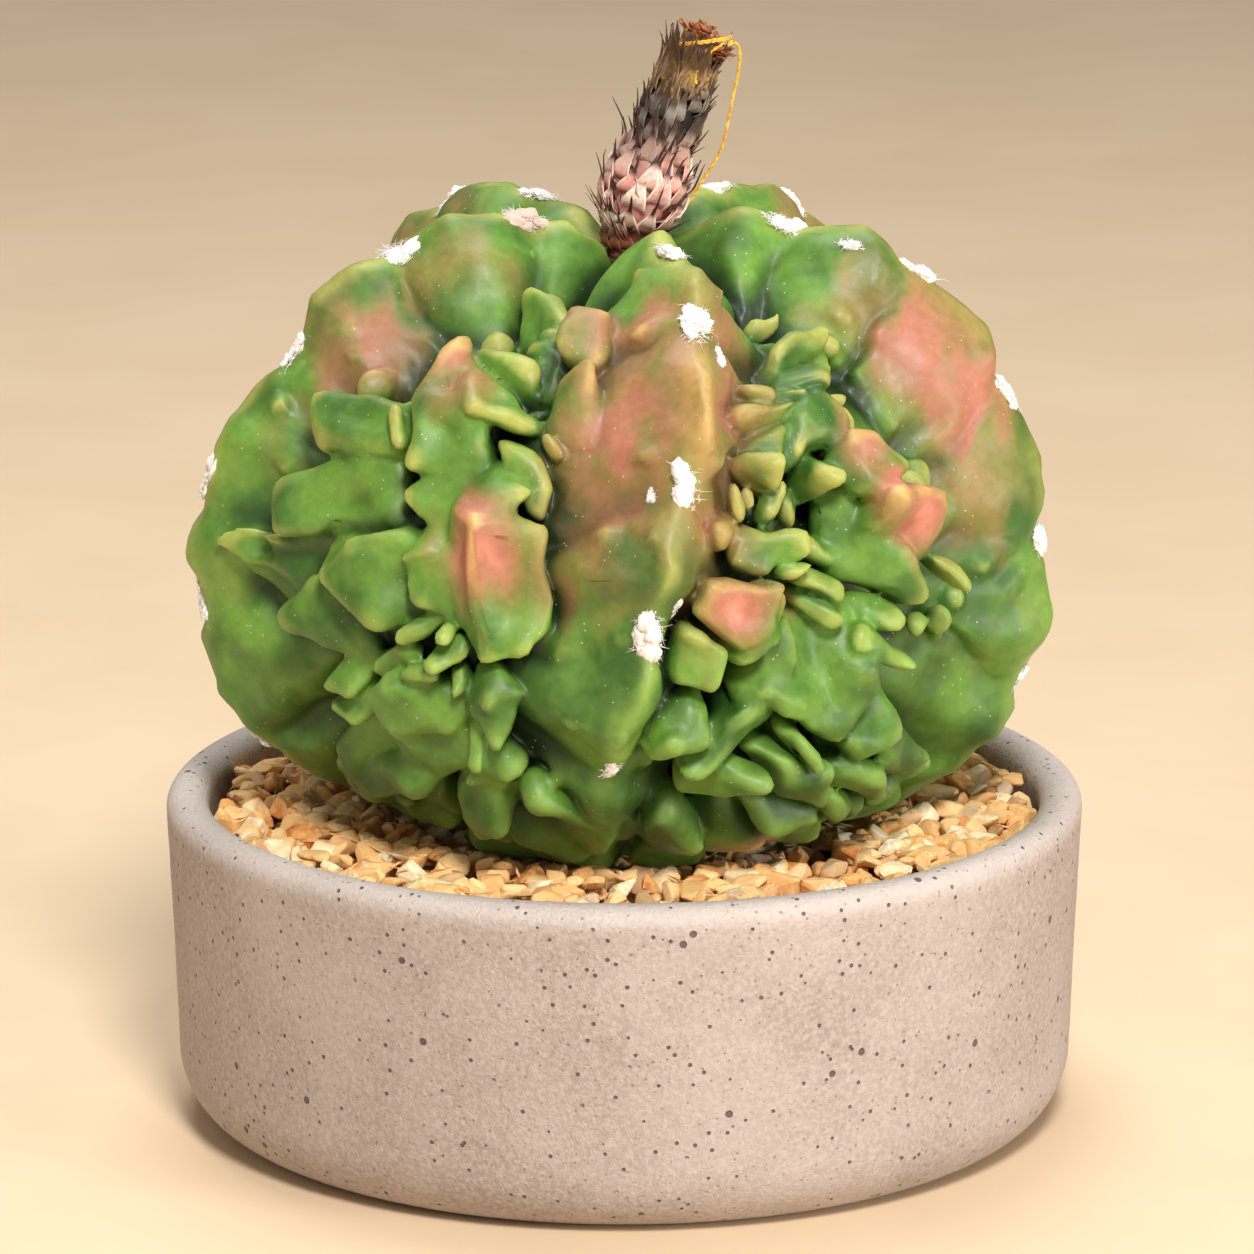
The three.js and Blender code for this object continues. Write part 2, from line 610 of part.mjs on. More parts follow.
function place(name, body, material) {
  const mesh = new THREE.Mesh(geometry(body), material);
  mesh.name = name;
  plant.add(mesh);
}

place('pot', pot(), finish(0xb9aaa0, 0.85));
place('potting_soil', pottingSoil(), finish(0x3d2f26, 0.95));
place('gravel_top_dressing', gravelTopDressing(), finish(0xb29a78, 0.8));
place('cactus_body', cactusBody(), finish(0x6f9440, 0.5));
place('fruit', fruit(), finish(0xb9606a, 0.55));
place('dried_flower', driedFlower(), finish(0x6a5a4c, 0.85));
place('withered_petals', witheredPetals(), finish(0xa85a2c, 0.8));
place('thread_wrap', threadWrap(), finish(0xe2b93a, 0.7));
place('marking_thread', markingThread(), finish(0xe2b93a, 0.7));

export default plant;
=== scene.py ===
import math
import random

import bmesh
import bpy
import numpy as np
import openvdb as vdb
from mathutils import Matrix, Vector, noise
from mathutils.bvhtree import BVHTree


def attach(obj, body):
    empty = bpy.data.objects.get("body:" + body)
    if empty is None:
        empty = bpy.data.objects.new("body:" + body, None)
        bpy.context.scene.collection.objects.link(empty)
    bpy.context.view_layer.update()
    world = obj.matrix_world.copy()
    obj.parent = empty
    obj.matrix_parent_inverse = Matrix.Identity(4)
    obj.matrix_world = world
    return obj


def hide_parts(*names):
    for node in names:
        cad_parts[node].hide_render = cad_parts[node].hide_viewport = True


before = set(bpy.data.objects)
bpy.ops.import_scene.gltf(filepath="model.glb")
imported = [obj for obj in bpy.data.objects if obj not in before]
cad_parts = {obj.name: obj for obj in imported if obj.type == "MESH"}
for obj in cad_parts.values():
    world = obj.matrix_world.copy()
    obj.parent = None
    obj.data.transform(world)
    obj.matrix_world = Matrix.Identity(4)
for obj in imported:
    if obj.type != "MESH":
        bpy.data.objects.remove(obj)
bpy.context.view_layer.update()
MM = 0.001


# Camera at the photograph's angle
CAMERA_DISTANCE = 1.5
CAMERA_ELEVATION = math.radians(14.554)
CAMERA_TARGET = Vector((0.000417, 0.0, 0.081713))
CAMERA_LENS = 263.6


def make_camera():
    data = bpy.data.cameras.new("camera")
    data.sensor_width = 36.0
    data.lens = CAMERA_LENS
    data.clip_end = 20.0
    camera = bpy.data.objects.new("camera", data)
    away = Vector((0.0, -math.cos(CAMERA_ELEVATION), math.sin(CAMERA_ELEVATION)))
    camera.location = CAMERA_TARGET + CAMERA_DISTANCE * away
    camera.rotation_euler = (math.pi / 2 - CAMERA_ELEVATION, 0.0, 0.0)
    bpy.context.scene.collection.objects.link(camera)
    bpy.context.scene.camera = camera


make_camera()


# Meshes from plain lists
class Parts:
    """Points and faces of one piece, with named marks on each point."""

    def __init__(self, *names):
        self.points = []
        self.faces = []
        self.marks = {name: [] for name in names}

    def add(self, points, faces, **marks):
        start = len(self.points)
        self.points.extend(points)
        self.faces.extend([tuple(start + corner for corner in face) for face in faces])
        for name, values in self.marks.items():
            value = marks.get(name, 0.0)
            values.extend(value if hasattr(value, "__len__") else [value] * len(points))


def new_object(name, points, faces, marks, material, smooth=True):
    mesh = bpy.data.meshes.new(name)
    mesh.from_pydata((np.asarray(points, float) * MM).tolist(), [], faces)
    mesh.update()
    for mark, values in marks.items():
        layer = mesh.attributes.new(mark, "FLOAT", "POINT")
        layer.data.foreach_set("value", np.asarray(values, np.float32))
    mesh.polygons.foreach_set("use_smooth", [smooth] * len(mesh.polygons))
    mesh.materials.append(material)
    item = bpy.data.objects.new(name, mesh)
    bpy.context.scene.collection.objects.link(item)
    return item


def as_piece(item, slot, *nodes):
    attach(item, "root")
    if nodes:
        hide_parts(*nodes)
    return item


# Node materials
def linear(red, green, blue):
    def channel(value):
        value /= 255.0
        return value / 12.92 if value <= 0.04045 else ((value + 0.055) / 1.055) ** 2.4

    return (channel(red), channel(green), channel(blue), 1.0)


class Shade:
    """A material with short calls for the nodes that the pieces need."""

    def __init__(self, name):
        self.material = bpy.data.materials.new(name)
        self.material.use_nodes = True
        self.tree = self.material.node_tree
        self.surface = self.tree.nodes["Principled BSDF"]
        self.places = self.new("ShaderNodeTexCoord").outputs["Object"]

    def new(self, kind, **settings):
        node = self.tree.nodes.new(kind)
        for key, value in settings.items():
            setattr(node, key, value)
        return node

    def put(self, socket, value):
        if isinstance(value, bpy.types.NodeSocket):
            self.tree.links.new(value, socket)
        else:
            socket.default_value = value

    def set(self, **values):
        for key, value in values.items():
            self.put(self.surface.inputs[key.replace("_", " ")], value)

    def mark(self, name):
        return self.new("ShaderNodeAttribute", attribute_name=name).outputs["Fac"]

    def noise(self, size_mm, detail=3.0, roughness=0.5, distortion=0.0):
        node = self.new("ShaderNodeTexNoise")
        self.put(node.inputs["Vector"], self.places)
        self.put(node.inputs["Scale"], 1.0 / (size_mm * MM))
        self.put(node.inputs["Detail"], detail)
        self.put(node.inputs["Roughness"], roughness)
        self.put(node.inputs["Distortion"], distortion)
        return node.outputs["Fac"]

    def cells(self, size_mm, feature="F1", output="Distance", randomness=1.0):
        node = self.new("ShaderNodeTexVoronoi", feature=feature)
        self.put(node.inputs["Vector"], self.places)
        self.put(node.inputs["Scale"], 1.0 / (size_mm * MM))
        self.put(node.inputs["Randomness"], randomness)
        return node.outputs[output]

    def math(self, operation, first, second=0.0):
        node = self.new("ShaderNodeMath", operation=operation)
        self.put(node.inputs[0], first)
        self.put(node.inputs[1], second)
        return node.outputs[0]

    def span(self, value, low, high, to_low=0.0, to_high=1.0, smooth=True):
        kind = "SMOOTHSTEP" if smooth else "LINEAR"
        node = self.new("ShaderNodeMapRange", interpolation_type=kind)
        for socket, number in zip(node.inputs, (value, low, high, to_low, to_high)):
            self.put(socket, number)
        return node.outputs["Result"]

    def mix(self, share, first, second, blend="MIX"):
        node = self.new("ShaderNodeMix", data_type="RGBA", blend_type=blend)
        self.put(node.inputs["Factor"], share)
        self.put(node.inputs[6], first)
        self.put(node.inputs[7], second)
        return node.outputs[2]

    def grey(self, value):
        node = self.new("ShaderNodeCombineColor")
        for socket in node.inputs:
            self.put(socket, value)
        return node.outputs[0]

    def separate(self, socket):
        node = self.new("ShaderNodeSeparateXYZ")
        self.put(node.inputs[0], socket)
        return node.outputs

    def bump(self, height, strength, distance_mm, normal=None):
        node = self.new("ShaderNodeBump")
        self.put(node.inputs["Strength"], strength)
        self.put(node.inputs["Distance"], distance_mm * MM)
        self.put(node.inputs["Height"], height)
        if normal is not None:
            self.put(node.inputs["Normal"], normal)
        return node.outputs["Normal"]


# Yellow marking thread: the route of its loose end, in millimetres
THREAD_RADIUS = 0.3
THREAD_POINTS = [
    (17.7, -0.5, 178.9), (18.3, -0.8, 178.2), (18.6, -1.1, 176.8), (18.4, -1.4, 175.0),
    (18.0, -1.6, 172.6), (17.4, -1.8, 170.0), (16.7, -2.0, 166.4), (15.9, -2.2, 162.8),
    (14.8, -2.2, 160.2), (13.6, -2.1, 158.2), (12.3, -1.8, 156.1), (10.9, -1.2, 153.6),
    (9.6, -0.3, 151.4), (8.4, 0.8, 149.7), (7.2, 2.0, 148.5), (5.9, 3.2, 147.6),
]
PLY_SHARE = 0.56
PLY_TWIST_MM = 2.1
RING_SIDES = 7


def smooth_line(points, steps):
    """Points along a Catmull-Rom line through the given ones."""
    places = [Vector(point) for point in points]
    places = [2 * places[0] - places[1], *places, 2 * places[-1] - places[-2]]
    result = []
    for a, b, c, d in zip(places, places[1:], places[2:], places[3:]):
        for step in range(steps):
            t = step / steps
            result.append(0.5 * (2 * b + (c - a) * t + (2 * a - 5 * b + 4 * c - d) * t * t
                                 + (3 * b - a - 3 * c + d) * t ** 3))
    result.append(places[-2])
    return result


def length_of(line):
    return sum((b - a).length for a, b in zip(line, line[1:]))


def frames_along(line):
    """Each point of a line with two directions square to it that turn as little as they can."""
    frames = []
    side = None
    for index, point in enumerate(line):
        ahead = (line[min(index + 1, len(line) - 1)] - line[max(index - 1, 0)]).normalized()
        if side is None:
            side = ahead.orthogonal().normalized()
        side = (side - ahead * side.dot(ahead)).normalized()
        frames.append((point, side, ahead.cross(side)))
    return frames


def add_tube(parts, line, radii, sides, closed=False, **marks):
    frames = frames_along(line)
    points = []
    for (centre, side, up), radius in zip(frames, radii):
        for corner in range(sides):
            angle = 2 * math.pi * corner / sides
            points.append(centre + radius * (math.cos(angle) * side + math.sin(angle) * up))
    faces = []
    rings = len(line)
    for ring in range(rings if closed else rings - 1):
        after = (ring + 1) % rings
        for corner in range(sides):
            beside = (corner + 1) % sides
            faces.append((ring * sides + corner, ring * sides + beside,
                          after * sides + beside, after * sides + corner))
    if not closed:
        faces.append(tuple(reversed(range(sides))))
        faces.append(tuple((rings - 1) * sides + corner for corner in range(sides)))
    parts.add(points, faces, **marks)


def add_twisted(parts, line, radius, closed=False):
    """Two plies that wind round each other along a line."""
    ply = radius * PLY_SHARE
    offset = radius - ply
    frames = frames_along(line)
    turns = length_of(line) / PLY_TWIST_MM
    if closed:
        turns = round(turns)
    for start in (0.0, math.pi):
        strand = []
        for index, (centre, side, up) in enumerate(frames):
            angle = start + 2 * math.pi * turns * index / len(frames)
            strand.append(centre + offset * (math.cos(angle) * side + math.sin(angle) * up))
        add_tube(parts, strand, [ply] * len(strand), RING_SIDES, closed=closed)


def thread_material():
    shade = Shade("yellow_cotton")
    tone = shade.span(shade.noise(0.9, 2.0), 0.35, 0.7)
    colour = shade.mix(tone, linear(205, 140, 20), linear(248, 200, 60))
    fibres = shade.noise(0.12, 2.0)
    shade.set(Base_Color=colour, Roughness=0.72, Normal=shade.bump(fibres, 0.5, 0.05))
    shade.surface.inputs["Sheen Weight"].default_value = 0.25
    shade.surface.inputs["Subsurface Weight"].default_value = 0.05
    return shade.material


WRAP_CENTRE = Vector((12.2, 0.0, 178.8))
WRAP_RADIUS = 4.35
WRAP_TURNS = 2
# The short second end of the knot, down the front of the tube
SHORT_END = [(15.9, -2.6, 179.2), (15.4, -3.9, 179.0), (14.2, -4.6, 178.4), (12.9, -4.9, 177.2),
             (12.0, -5.0, 175.8), (11.4, -5.1, 174.4), (11.5, -5.3, 173.0)]


def make_thread():
    cotton = thread_material()
    line = smooth_line(THREAD_POINTS, 6)
    loose = Parts()
    add_twisted(loose, line, THREAD_RADIUS)
    end = as_piece(new_object("marking_thread_loose_end", loose.points, loose.faces, {}, cotton),
                   "yellow_thread", "marking_thread")
    wound = Parts()
    rings = []
    steps = 60
    for index in range(steps * WRAP_TURNS + 1):
        angle = 2 * math.pi * index / steps + 0.1
        share = index / (steps * WRAP_TURNS)
        radius = WRAP_RADIUS + 0.55 * math.exp(-4 * (1 - math.cos(angle))) + 0.06 * math.sin(7 * angle)
        rings.append(WRAP_CENTRE + Vector((
            radius * math.cos(angle), radius * math.sin(angle),
            0.5 * (share - 0.5) + 0.75 * math.sin(angle + 2.4) + 0.2)))
    add_twisted(wound, rings, 0.27)
    add_twisted(wound, smooth_line(SHORT_END, 8), 0.24)
    knot_centre = WRAP_CENTRE + Vector((4.75, -0.3, 0.0))
    knot = []
    for index in range(41):
        angle = 2 * math.pi * index / 20
        knot.append(knot_centre + Vector((0.25 * math.cos(angle), 0.45 * math.cos(angle / 2 + 1),
                                          0.42 * math.sin(angle))))
    add_twisted(wound, knot, 0.24)
    wrap = as_piece(new_object("thread_winding", wound.points, wound.faces, {}, cotton),
                    "yellow_thread", "thread_wrap")


make_thread()


# Lights, and the plain floor that isn't part of the object
FLOOR_HALF = 3.0


def add_light(name, place, target, size, power, colour):
    data = bpy.data.lights.new(name, "AREA")
    data.shape = "DISK"
    data.size = size
    data.energy = power
    data.color = colour
    lamp = bpy.data.objects.new(name, data)
    lamp.location = place
    aim = Vector(target) - Vector(place)
    lamp.rotation_euler = aim.to_track_quat("-Z", "Y").to_euler()
    bpy.context.scene.collection.objects.link(lamp)


def make_surroundings():
    shade = Shade("pale_floor")
    grain = shade.span(shade.noise(60.0, 3.0), 0.3, 0.7)
    shade.set(Base_Color=shade.mix(grain, linear(232, 206, 172), linear(236, 211, 178)), Roughness=0.65)
    half = FLOOR_HALF / MM
    corners = [(-half, -half, 0), (half, -half, 0), (half, half, 0), (-half, half, 0)]
    floor = new_object("floor", corners, [(0, 1, 2, 3)], {}, shade.material)
    middle = (0.0, 0.0, 0.09)
    add_light("key", (0.14, -1.0, 1.0), middle, 0.3, 17.5, (1.0, 0.98, 0.95))
    add_light("side", (1.1, -0.7, 0.3), middle, 0.5, 9.5, (1.0, 0.98, 0.95))
    add_light("fill", (-0.85, -0.7, 0.5), middle, 0.8, 1.0, (1.0, 0.95, 0.88))
    add_light("top", (-0.1, 0.3, 1.1), middle, 0.6, 7.0, (1.0, 0.99, 0.97))
    world = bpy.data.worlds.new("studio")
    world.use_nodes = True
    background = world.node_tree.nodes["Background"]
    background.inputs["Color"].default_value = (1.0, 0.97, 0.93, 1.0)
    background.inputs["Strength"].default_value = 0.2
    bpy.context.scene.world = world
    bpy.context.scene.view_settings.view_transform = "Standard"


make_surroundings()


# Places on the plant: turn round it from the front, climb above the arc centre, reach from it
ARC_RADIUS = 22.0
ARC_HEIGHT = 104.0


def outward(turn):
    return Vector((math.sin(math.radians(turn)), -math.cos(math.radians(turn)), 0.0))


def on_plant(turn, climb, reach, side=0.0):
    out = outward(turn)
    place = out * (ARC_RADIUS + reach * math.cos(math.radians(climb)))
    place += side * Vector((-out.y, out.x, 0.0))
    place.z = ARC_HEIGHT + reach * math.sin(math.radians(climb))
    return place


def between(table, at):
    keys, values = zip(*table)
    return np.interp(at, keys, values)


PLAIN_OUTLINE = [(-90, 54.5), (-60, 55), (-45, 54.5), (-33, 52.5), (-20, 50.3), (-5, 48.3),
                 (10, 47.2), (30, 47), (60, 48), (90, 47.5), (120, 44), (180, 30)]
RIBS = [
    {"turn": 4.5, "lean": 11, "areoles": [83, 56, 22, -7, -35],
     "ridges": [(38, 9.5, 3.0), (66, 6, 1.6), (8, 8, 1.2), (-21, 8, 1.0)],
     "left": [(-75, 0.8), (-50, 1.15), (-30, 1.2), (55, 1.1), (80, 0.7), (100, 0.5)],
     "right": [(-75, 0.5), (-40, 0.45), (60, 0.5), (100, 0.5)],
     "outline": [(-90, 54.5), (-60, 54), (-30, 52), (0, 48.5), (45, 48), (90, 47.5), (120, 44),
                 (180, 30)]},
    {"turn": 80, "lean": 0, "areoles": [85, 57, 27, -5, -32],
     "outline": [(-90, 55), (-55, 55.8), (-39, 54.2), (-25, 51.2), (-10, 48.3), (3, 47),
                 (18, 45.8), (36, 47), (71, 48.5), (90, 48), (120, 44), (180, 30)]},
    {"turn": -78, "lean": 0, "areoles": [97, 70, 39, 8, -17, -45],
     "outline": [(-90, 53.5), (-41, 54), (-33, 53.5), (-18, 50.5), (-5, 49.6), (14, 46), (41, 43),
                 (69, 46), (90, 49), (115, 46), (180, 30)]},
    {"turn": 148, "lean": -6, "areoles": [88, 60, 31, 3, -24, -50], "outline": PLAIN_OUTLINE},
    {"turn": 218, "lean": 5, "areoles": [92, 64, 36, 6, -22, -48], "outline": PLAIN_OUTLINE},
]
CREST_WAVE = 1.2
CREST_WAVE_ARC = 6.0
CHIN_ARC = 10.0
CREST_LIFT = -0.3
RIB_ROUND = 2.4
RIB_TAPER = 0.36
FLANK_CREASE = 2.2
FLANK_CREASE_ARC = 2.4
FLANK_BEND = 0.5
FLANK_WAVE = 0.45
RIDGE_HALF = 2.0
SHARP_ROUND = 1.3


def crest_reach(rib, climb):
    wave = 0.0
    for at in rib["areoles"]:
        wave = wave + np.exp(-(((climb - at - CHIN_ARC) / CREST_WAVE_ARC) ** 2))
        wave = wave - np.exp(-(((climb - at) / CREST_WAVE_ARC) ** 2))
    return between(rib["outline"], climb) + CREST_WAVE * wave


def rib_turn(rib, climb):
    return rib["turn"] + rib["lean"] * np.sin(np.radians(climb))


# Folds that crowd the two front furrows. A tip is its turn, its climb, how far it lies below the
# plain outline, and its radius. Each fold runs from its tips to the core.
LEFT_FURROW = (-37, 82)
RIGHT_FURROW = (42, 76)
LEFT_FOLDS = [
    [(-57, 33, 4, 2.5), (-52, 27, 4, 3.5), (-40, 38, 6, 3.5), (-39, 31, 6, 4)],
    [(-40, 35, 4, 2.6), (-38, 31, 4, 3.2)],
    [(-33, 53, 4, 2.6), (-34, 38, 4, 3.5), (-32, 27, 4, 3.5)],
    [(-32, 27, 4, 3.5), (-34, 38, 4, 3.5), (-24, 39, 4, 2.2), (-23, 24, 6, 3.5)],
    [(-33, 53, 4, 2.6), (-24, 39, 2, 2.2), (-14, 36, 6, 2.4)],
    [(-31, 55, 8, 2.8), (-21, 52, 8, 2.8), (-16, 46, 10, 2.6)],
    [(-58, 12, 4, 4), (-56, 6, 4, 3.5), (-43, 25, 8, 5), (-49, 5, 6, 3.2), (-40, 10, 6, 5)],
    [(-48, 3, 6, 3.5), (-46, -4, 4, 1.8), (-41, 6, 8, 4.5)],
    [(-46, -4, 4, 1.8), (-41, 2, 4, 2.6), (-38, -8, 4, 3.5), (-34, 6, 6, 4), (-28, -5, 8, 4.5)],
    [(-55, -15, 4, 3.6), (-51, -9, 6, 4), (-45, -19, 6, 2.4), (-45, -11, 8, 5)],
    [(-49, -27, 6, 2), (-45, -27, 6, 2.4), (-44, -21, 8, 4)],
    [(-48, -32, 6, 2.4), (-45, -34, 6, 2), (-44, -31, 8, 4)],
    [(-39, -21, 6, 3.2), (-34, -17, 6, 3.4)],
    [(-32, -12, 4, 2.8), (-27, -9, 6, 3)],
    [(-25, -10, 2, 2.2), (-24, -9, 4, 2.4)],
    [(-27, -16, 2, 2.9), (-24, -14, 4, 3.2)],
    [(-32, -20, 4, 3), (-29, -20, 4, 3.2)],
    [(-31, -26, 4, 3), (-28, -25, 5, 3)],
    [(-24, -23, 3, 2.4), (-24, -21, 5, 2.6)],
    [(-37, -26, 4, 4.2), (-34, -30, 4, 4.2), (-35, -23, 4, 4), (-26, -27, 6, 5), (-29, -30, 4, 4.5)],
    [(-54, -48, 6, 4.5), (-44, -38, 6, 4.2), (-56, -58, 4, 3.5), (-33, -43, 6, 4), (-38, -48, 4, 4)],
    [(-37, -36, 6, 3), (-31, -42, 6, 3), (-24, -36, 6, 4)],
    [(-36, -53, 6, 4), (-42, -62, 4, 4), (-37, -64, 4, 3.2)],
    [(-22, -36, 2, 2.6), (-22, -32, 4, 2.8)],
    [(-19, 25, 4, 2.4), (-25, 15, 4, 1.8), (-20, 14, 2, 2), (-15, 20, 4, 2.4)],
    [(-25, 15, 4, 1.8), (-20, 14, 1, 2), (-24, -4, 4, 2.4), (-20, -2, 2, 2), (-19, -14, 2, 2)],
    [(-20, 14, 1, 2), (-12, 12, 4, 2.4), (-13, -8, 4, 2), (-20, -2, 2, 2), (-19, -14, 2, 2)],
    [(-19, -19, 4, 2.4), (-22, -25, 4, 2.8), (-18, -31, 2, 2), (-15, -23, 4, 2.2), (-18, -23, 2, 2.2)],
    [(-23, -41, 4, 2.8), (-17, -39, 4, 3), (-20, -37, 4, 3)],
    [(-28, -60, 2, 3.2), (-22, -53, 2, 2.8), (-26, -44, 4, 3.6), (-19, -43, 4, 3.5)],
    [(-18, 30, 6, 2.6), (-14, 26, 6, 3.4), (-13, 17, 6, 2.4), (-17, 25, 6, 2.2)],
    [(-15, 60, 12, 2.4), (-14, 48, 10, 2.6)],
    [(-19, 57, 12, 2.3), (-17, 58, 14, 2.2)],
    [(-16, 42, 10, 2.4), (-14, 42, 10, 2.6)],
    [(-14, 36, 8, 2.6), (-13, 35, 10, 2.4)],
    [(-37, 85, 10, 2), (-29, 73, 12, 3), (-19, 76, 10, 3.4), (-24, 83, 10, 2.6), (-21, 67, 12, 3.5)],
    [(-11, 67, 6, 2.8), (-13, 59, 6, 2.2), (-6, 65, 6, 3), (-7, 56, 6, 4)],
    [(-7, 50, 4, 1.8), (-10, 46, 6, 4), (-10, 38, 6, 5), (-6, 37, 6, 5)],
    [(-11, 33, 6, 2.6), (-10, 31, 6, 2.4)],
    [(-34, 18, 6, 2), (-29, 21, 6, 3.4), (-24, 20, 6, 3), (-28, 15, 6, 3)],
    [(-32, 4, 4, 1.8), (-29, 11, 6, 3.6), (-29, 7, 4, 3), (-26, 13, 6, 4)],
    [(-30, 2, 4, 3.4), (-28, -3, 4, 3.6), (-26, 4, 4, 3.4), (-25, -7, 6, 3)],
    [(-26, -68, 4, 4), (-17, -67, 4, 4), (-13, -47, 2, 4.5), (-6, -54, 2, 3.5), (-15, -47, 4, 5)],
]
RIGHT_FOLDS = [
    [(49, 79, 8, 1.6), (42, 65, 6, 1.8)],
    [(47, 73, 10, 2.4), (41, 74, 12, 2.8)],
    [(48, 61, 8, 2.2), (40, 60, 8, 2.6), (31, 53, 10, 3.8), (35, 57, 8, 3)],
    [(41, 50, 8, 3), (38, 44, 6, 3.4), (37, 56, 10, 3), (33, 48, 8, 4)],
    [(32, 41, 6, 2.6), (30, 44, 8, 3)],
    [(24, 50, 8, 2.8), (22, 46, 6, 2.4), (25, 44, 6, 3)],
    [(28, 39, 6, 3), (20, 39, 4, 2.8), (25, 42, 6, 3), (23, 36, 6, 4), (27, 36, 6, 3)],
    [(26, 31, 6, 3), (22, 30, 6, 3.4), (25, 28, 6, 3)],
    [(22, 25, 2, 2.8), (19, 26, 4, 2.8), (20, 22, 6, 3.4), (22, 22, 4, 3)],
    [(24, 20, 6, 2.4), (21, 15, 6, 2.8), (22, 17, 6, 2.6)],
    [(16, 21, 2, 1.5), (16, 17, 2, 2.8)],
    [(19, 20, 6, 2.3), (19, 17, 6, 2.2)],
    [(13, 13, 2, 3.6), (15, 15, 4, 3)],
    [(36, 38, 6, 3.6), (38, 33, 6, 3), (38, 30, 6, 2.4), (31, 37, 6, 3.5), (30, 31, 6, 2.6)],
    [(31, 37, 6, 3.5), (26, 26, 8, 2.4), (29, 29, 6, 3.4)],
    [(31, 26, 6, 2.6), (33, 22, 4, 2.4), (30, 23, 8, 4), (31, 20, 8, 3)],
    [(38, 28, 4, 3), (42, 27, 4, 2.6), (45, 21, 4, 2.4), (35, 23, 6, 3), (39, 18, 4, 2), (42, 18, 4, 3)],
    [(51, 12, 4, 2.6), (50, 1, 4, 2.6), (41, 14, 2, 3.4), (40, 5, 4, 4), (47, -1, 4, 3)],
    [(37, 2, 8, 6), (48, -7, 6, 2.6), (37, 14, 8, 6), (43, 1, 6, 4), (45, -9, 8, 3)],
    [(53, -5, 2, 1.6), (51, -1, 4, 2.6)],
    [(16, 13, 4, 2.8), (26, 10, 4, 2.2), (25, 7, 4, 2.6), (21, 5, 4, 2.8), (17, 8, 4, 3)],
    [(24, 2, 4, 2.8), (26, 4, 4, 2.4), (23, 5, 4, 2.8)],
    [(32, 5, 10, 4), (34, 4, 10, 3.4)],
    [(31, -3, 6, 3.4), (28, 0, 6, 3.4)],
    [(30, -8, 6, 3.4), (28, -6, 8, 3.6)],
    [(12, 2, 2, 2.4), (21, 0, 2, 3), (15, -9, 2, 2.6), (11, -3, 2, 2.6), (19, -7, 2, 3.4)],
    [(22, -3, 4, 3), (16, -13, 4, 2.6), (20, -11, 4, 3), (11, -10, 6, 3)],
    [(23, -11, 6, 1.8), (17, -26, 6, 2.4), (20, -17, 6, 2.4), (18, -23, 8, 4), (23, -18, 6, 2.6)],
    [(12, -12, 2, 1.8), (9, -9, 2, 3), (8, -16, 2, 3.6), (11, -17, 2, 2.8)],
    [(6, -25, 2, 3), (7, -29, 0, 2.2), (11, -29, 2, 2.4), (5, -32, 2, 2.4), (9, -22, 4, 3.5)],
    [(21, -29, 4, 2.8), (19, -25, 4, 3), (11, -35, 2, 2.6), (17, -31, 4, 2.6), (10, -35, 4, 3)],
    [(32, -33, 4, 2.2), (37, -27, 6, 3), (20, -23, 4, 3), (25, -15, 6, 6), (32, -11, 8, 5),
     (36, -20, 4, 3)],
    [(44, -21, 4, 2), (39, -19, 4, 2.6), (36, -16, 4, 4)],
    [(43, -13, 6, 2.4), (40, -14, 6, 2.4), (36, -13, 8, 4)],
    [(37, -39, 4, 2.6), (44, -36, 4, 3), (43, -31, 6, 3), (36, -36, 4, 3)],
    [(62, -56, 4, 3), (60, -50, 4, 3), (46, -40, 6, 3.6), (47, -46, 4, 3.6)],
    [(28, -37, 0, 2), (24, -33, 4, 2.6), (26, -33, 2, 2)],
    [(30, -41, 2, 2.6), (33, -49, 2, 2.4), (19, -38, 4, 2.6), (24, -39, 2, 3.6)],
    [(55, -57, 2, 2.6), (43, -46, 2, 3), (35, -44, 4, 3)],
    [(20, -39, 0, 2.4), (11, -44, 2, 3), (14, -39, 2, 3)],
    [(52, -62, 2, 2.6), (56, -60, 2, 2), (35, -50, 2, 3)],
    [(27, -53, 2, 3.6), (22, -50, 4, 3.4), (32, -53, 2, 3)],
    [(66, -53, 4, 2.6), (64, -56, 4, 3.4), (59, -60, 2, 3)],
]
# Lobes round the foot of the plant
BELLY_FOLDS = [
    [(-20, -60, 2, 4.5), (-10, -67, 1, 5), (1, -63, 2, 4.5), (-15, -54, 3, 5), (-3, -53, 3, 5)],
    [(-18, -72, 1, 5), (-8, -76, 0, 5.5), (-12, -66, 1, 5), (-1, -72, 1, 5)],
    [(-36, -73, 1, 4.5), (-26, -74, 1, 4.5), (-31, -66, 2, 4)],
    [(5, -73, 1, 4.5), (14, -72, 1, 4.5), (9, -65, 2, 4)],
    [(4, -64, 3, 4), (12, -60, 2, 4), (8, -54, 3, 4)],
    [(14, -63, 3, 4), (24, -61, 2, 4), (20, -55, 3, 4)],
    [(27, -64, 3, 4), (37, -60, 2, 4.2), (31, -56, 3, 4)],
    [(40, -65, 3, 4), (49, -62, 3, 4), (45, -57, 4, 4)],
    [(-34, -66, 3, 4), (-26, -64, 3, 4), (-30, -58, 4, 4)],
    [(-49, -65, 3, 4), (-41, -66, 3, 4), (-45, -59, 4, 4)],
    [(-64, -63, 3, 4), (-56, -66, 3, 4), (-60, -59, 4, 4)],
]
FOOT_TURNS = range(62, 300, 13)
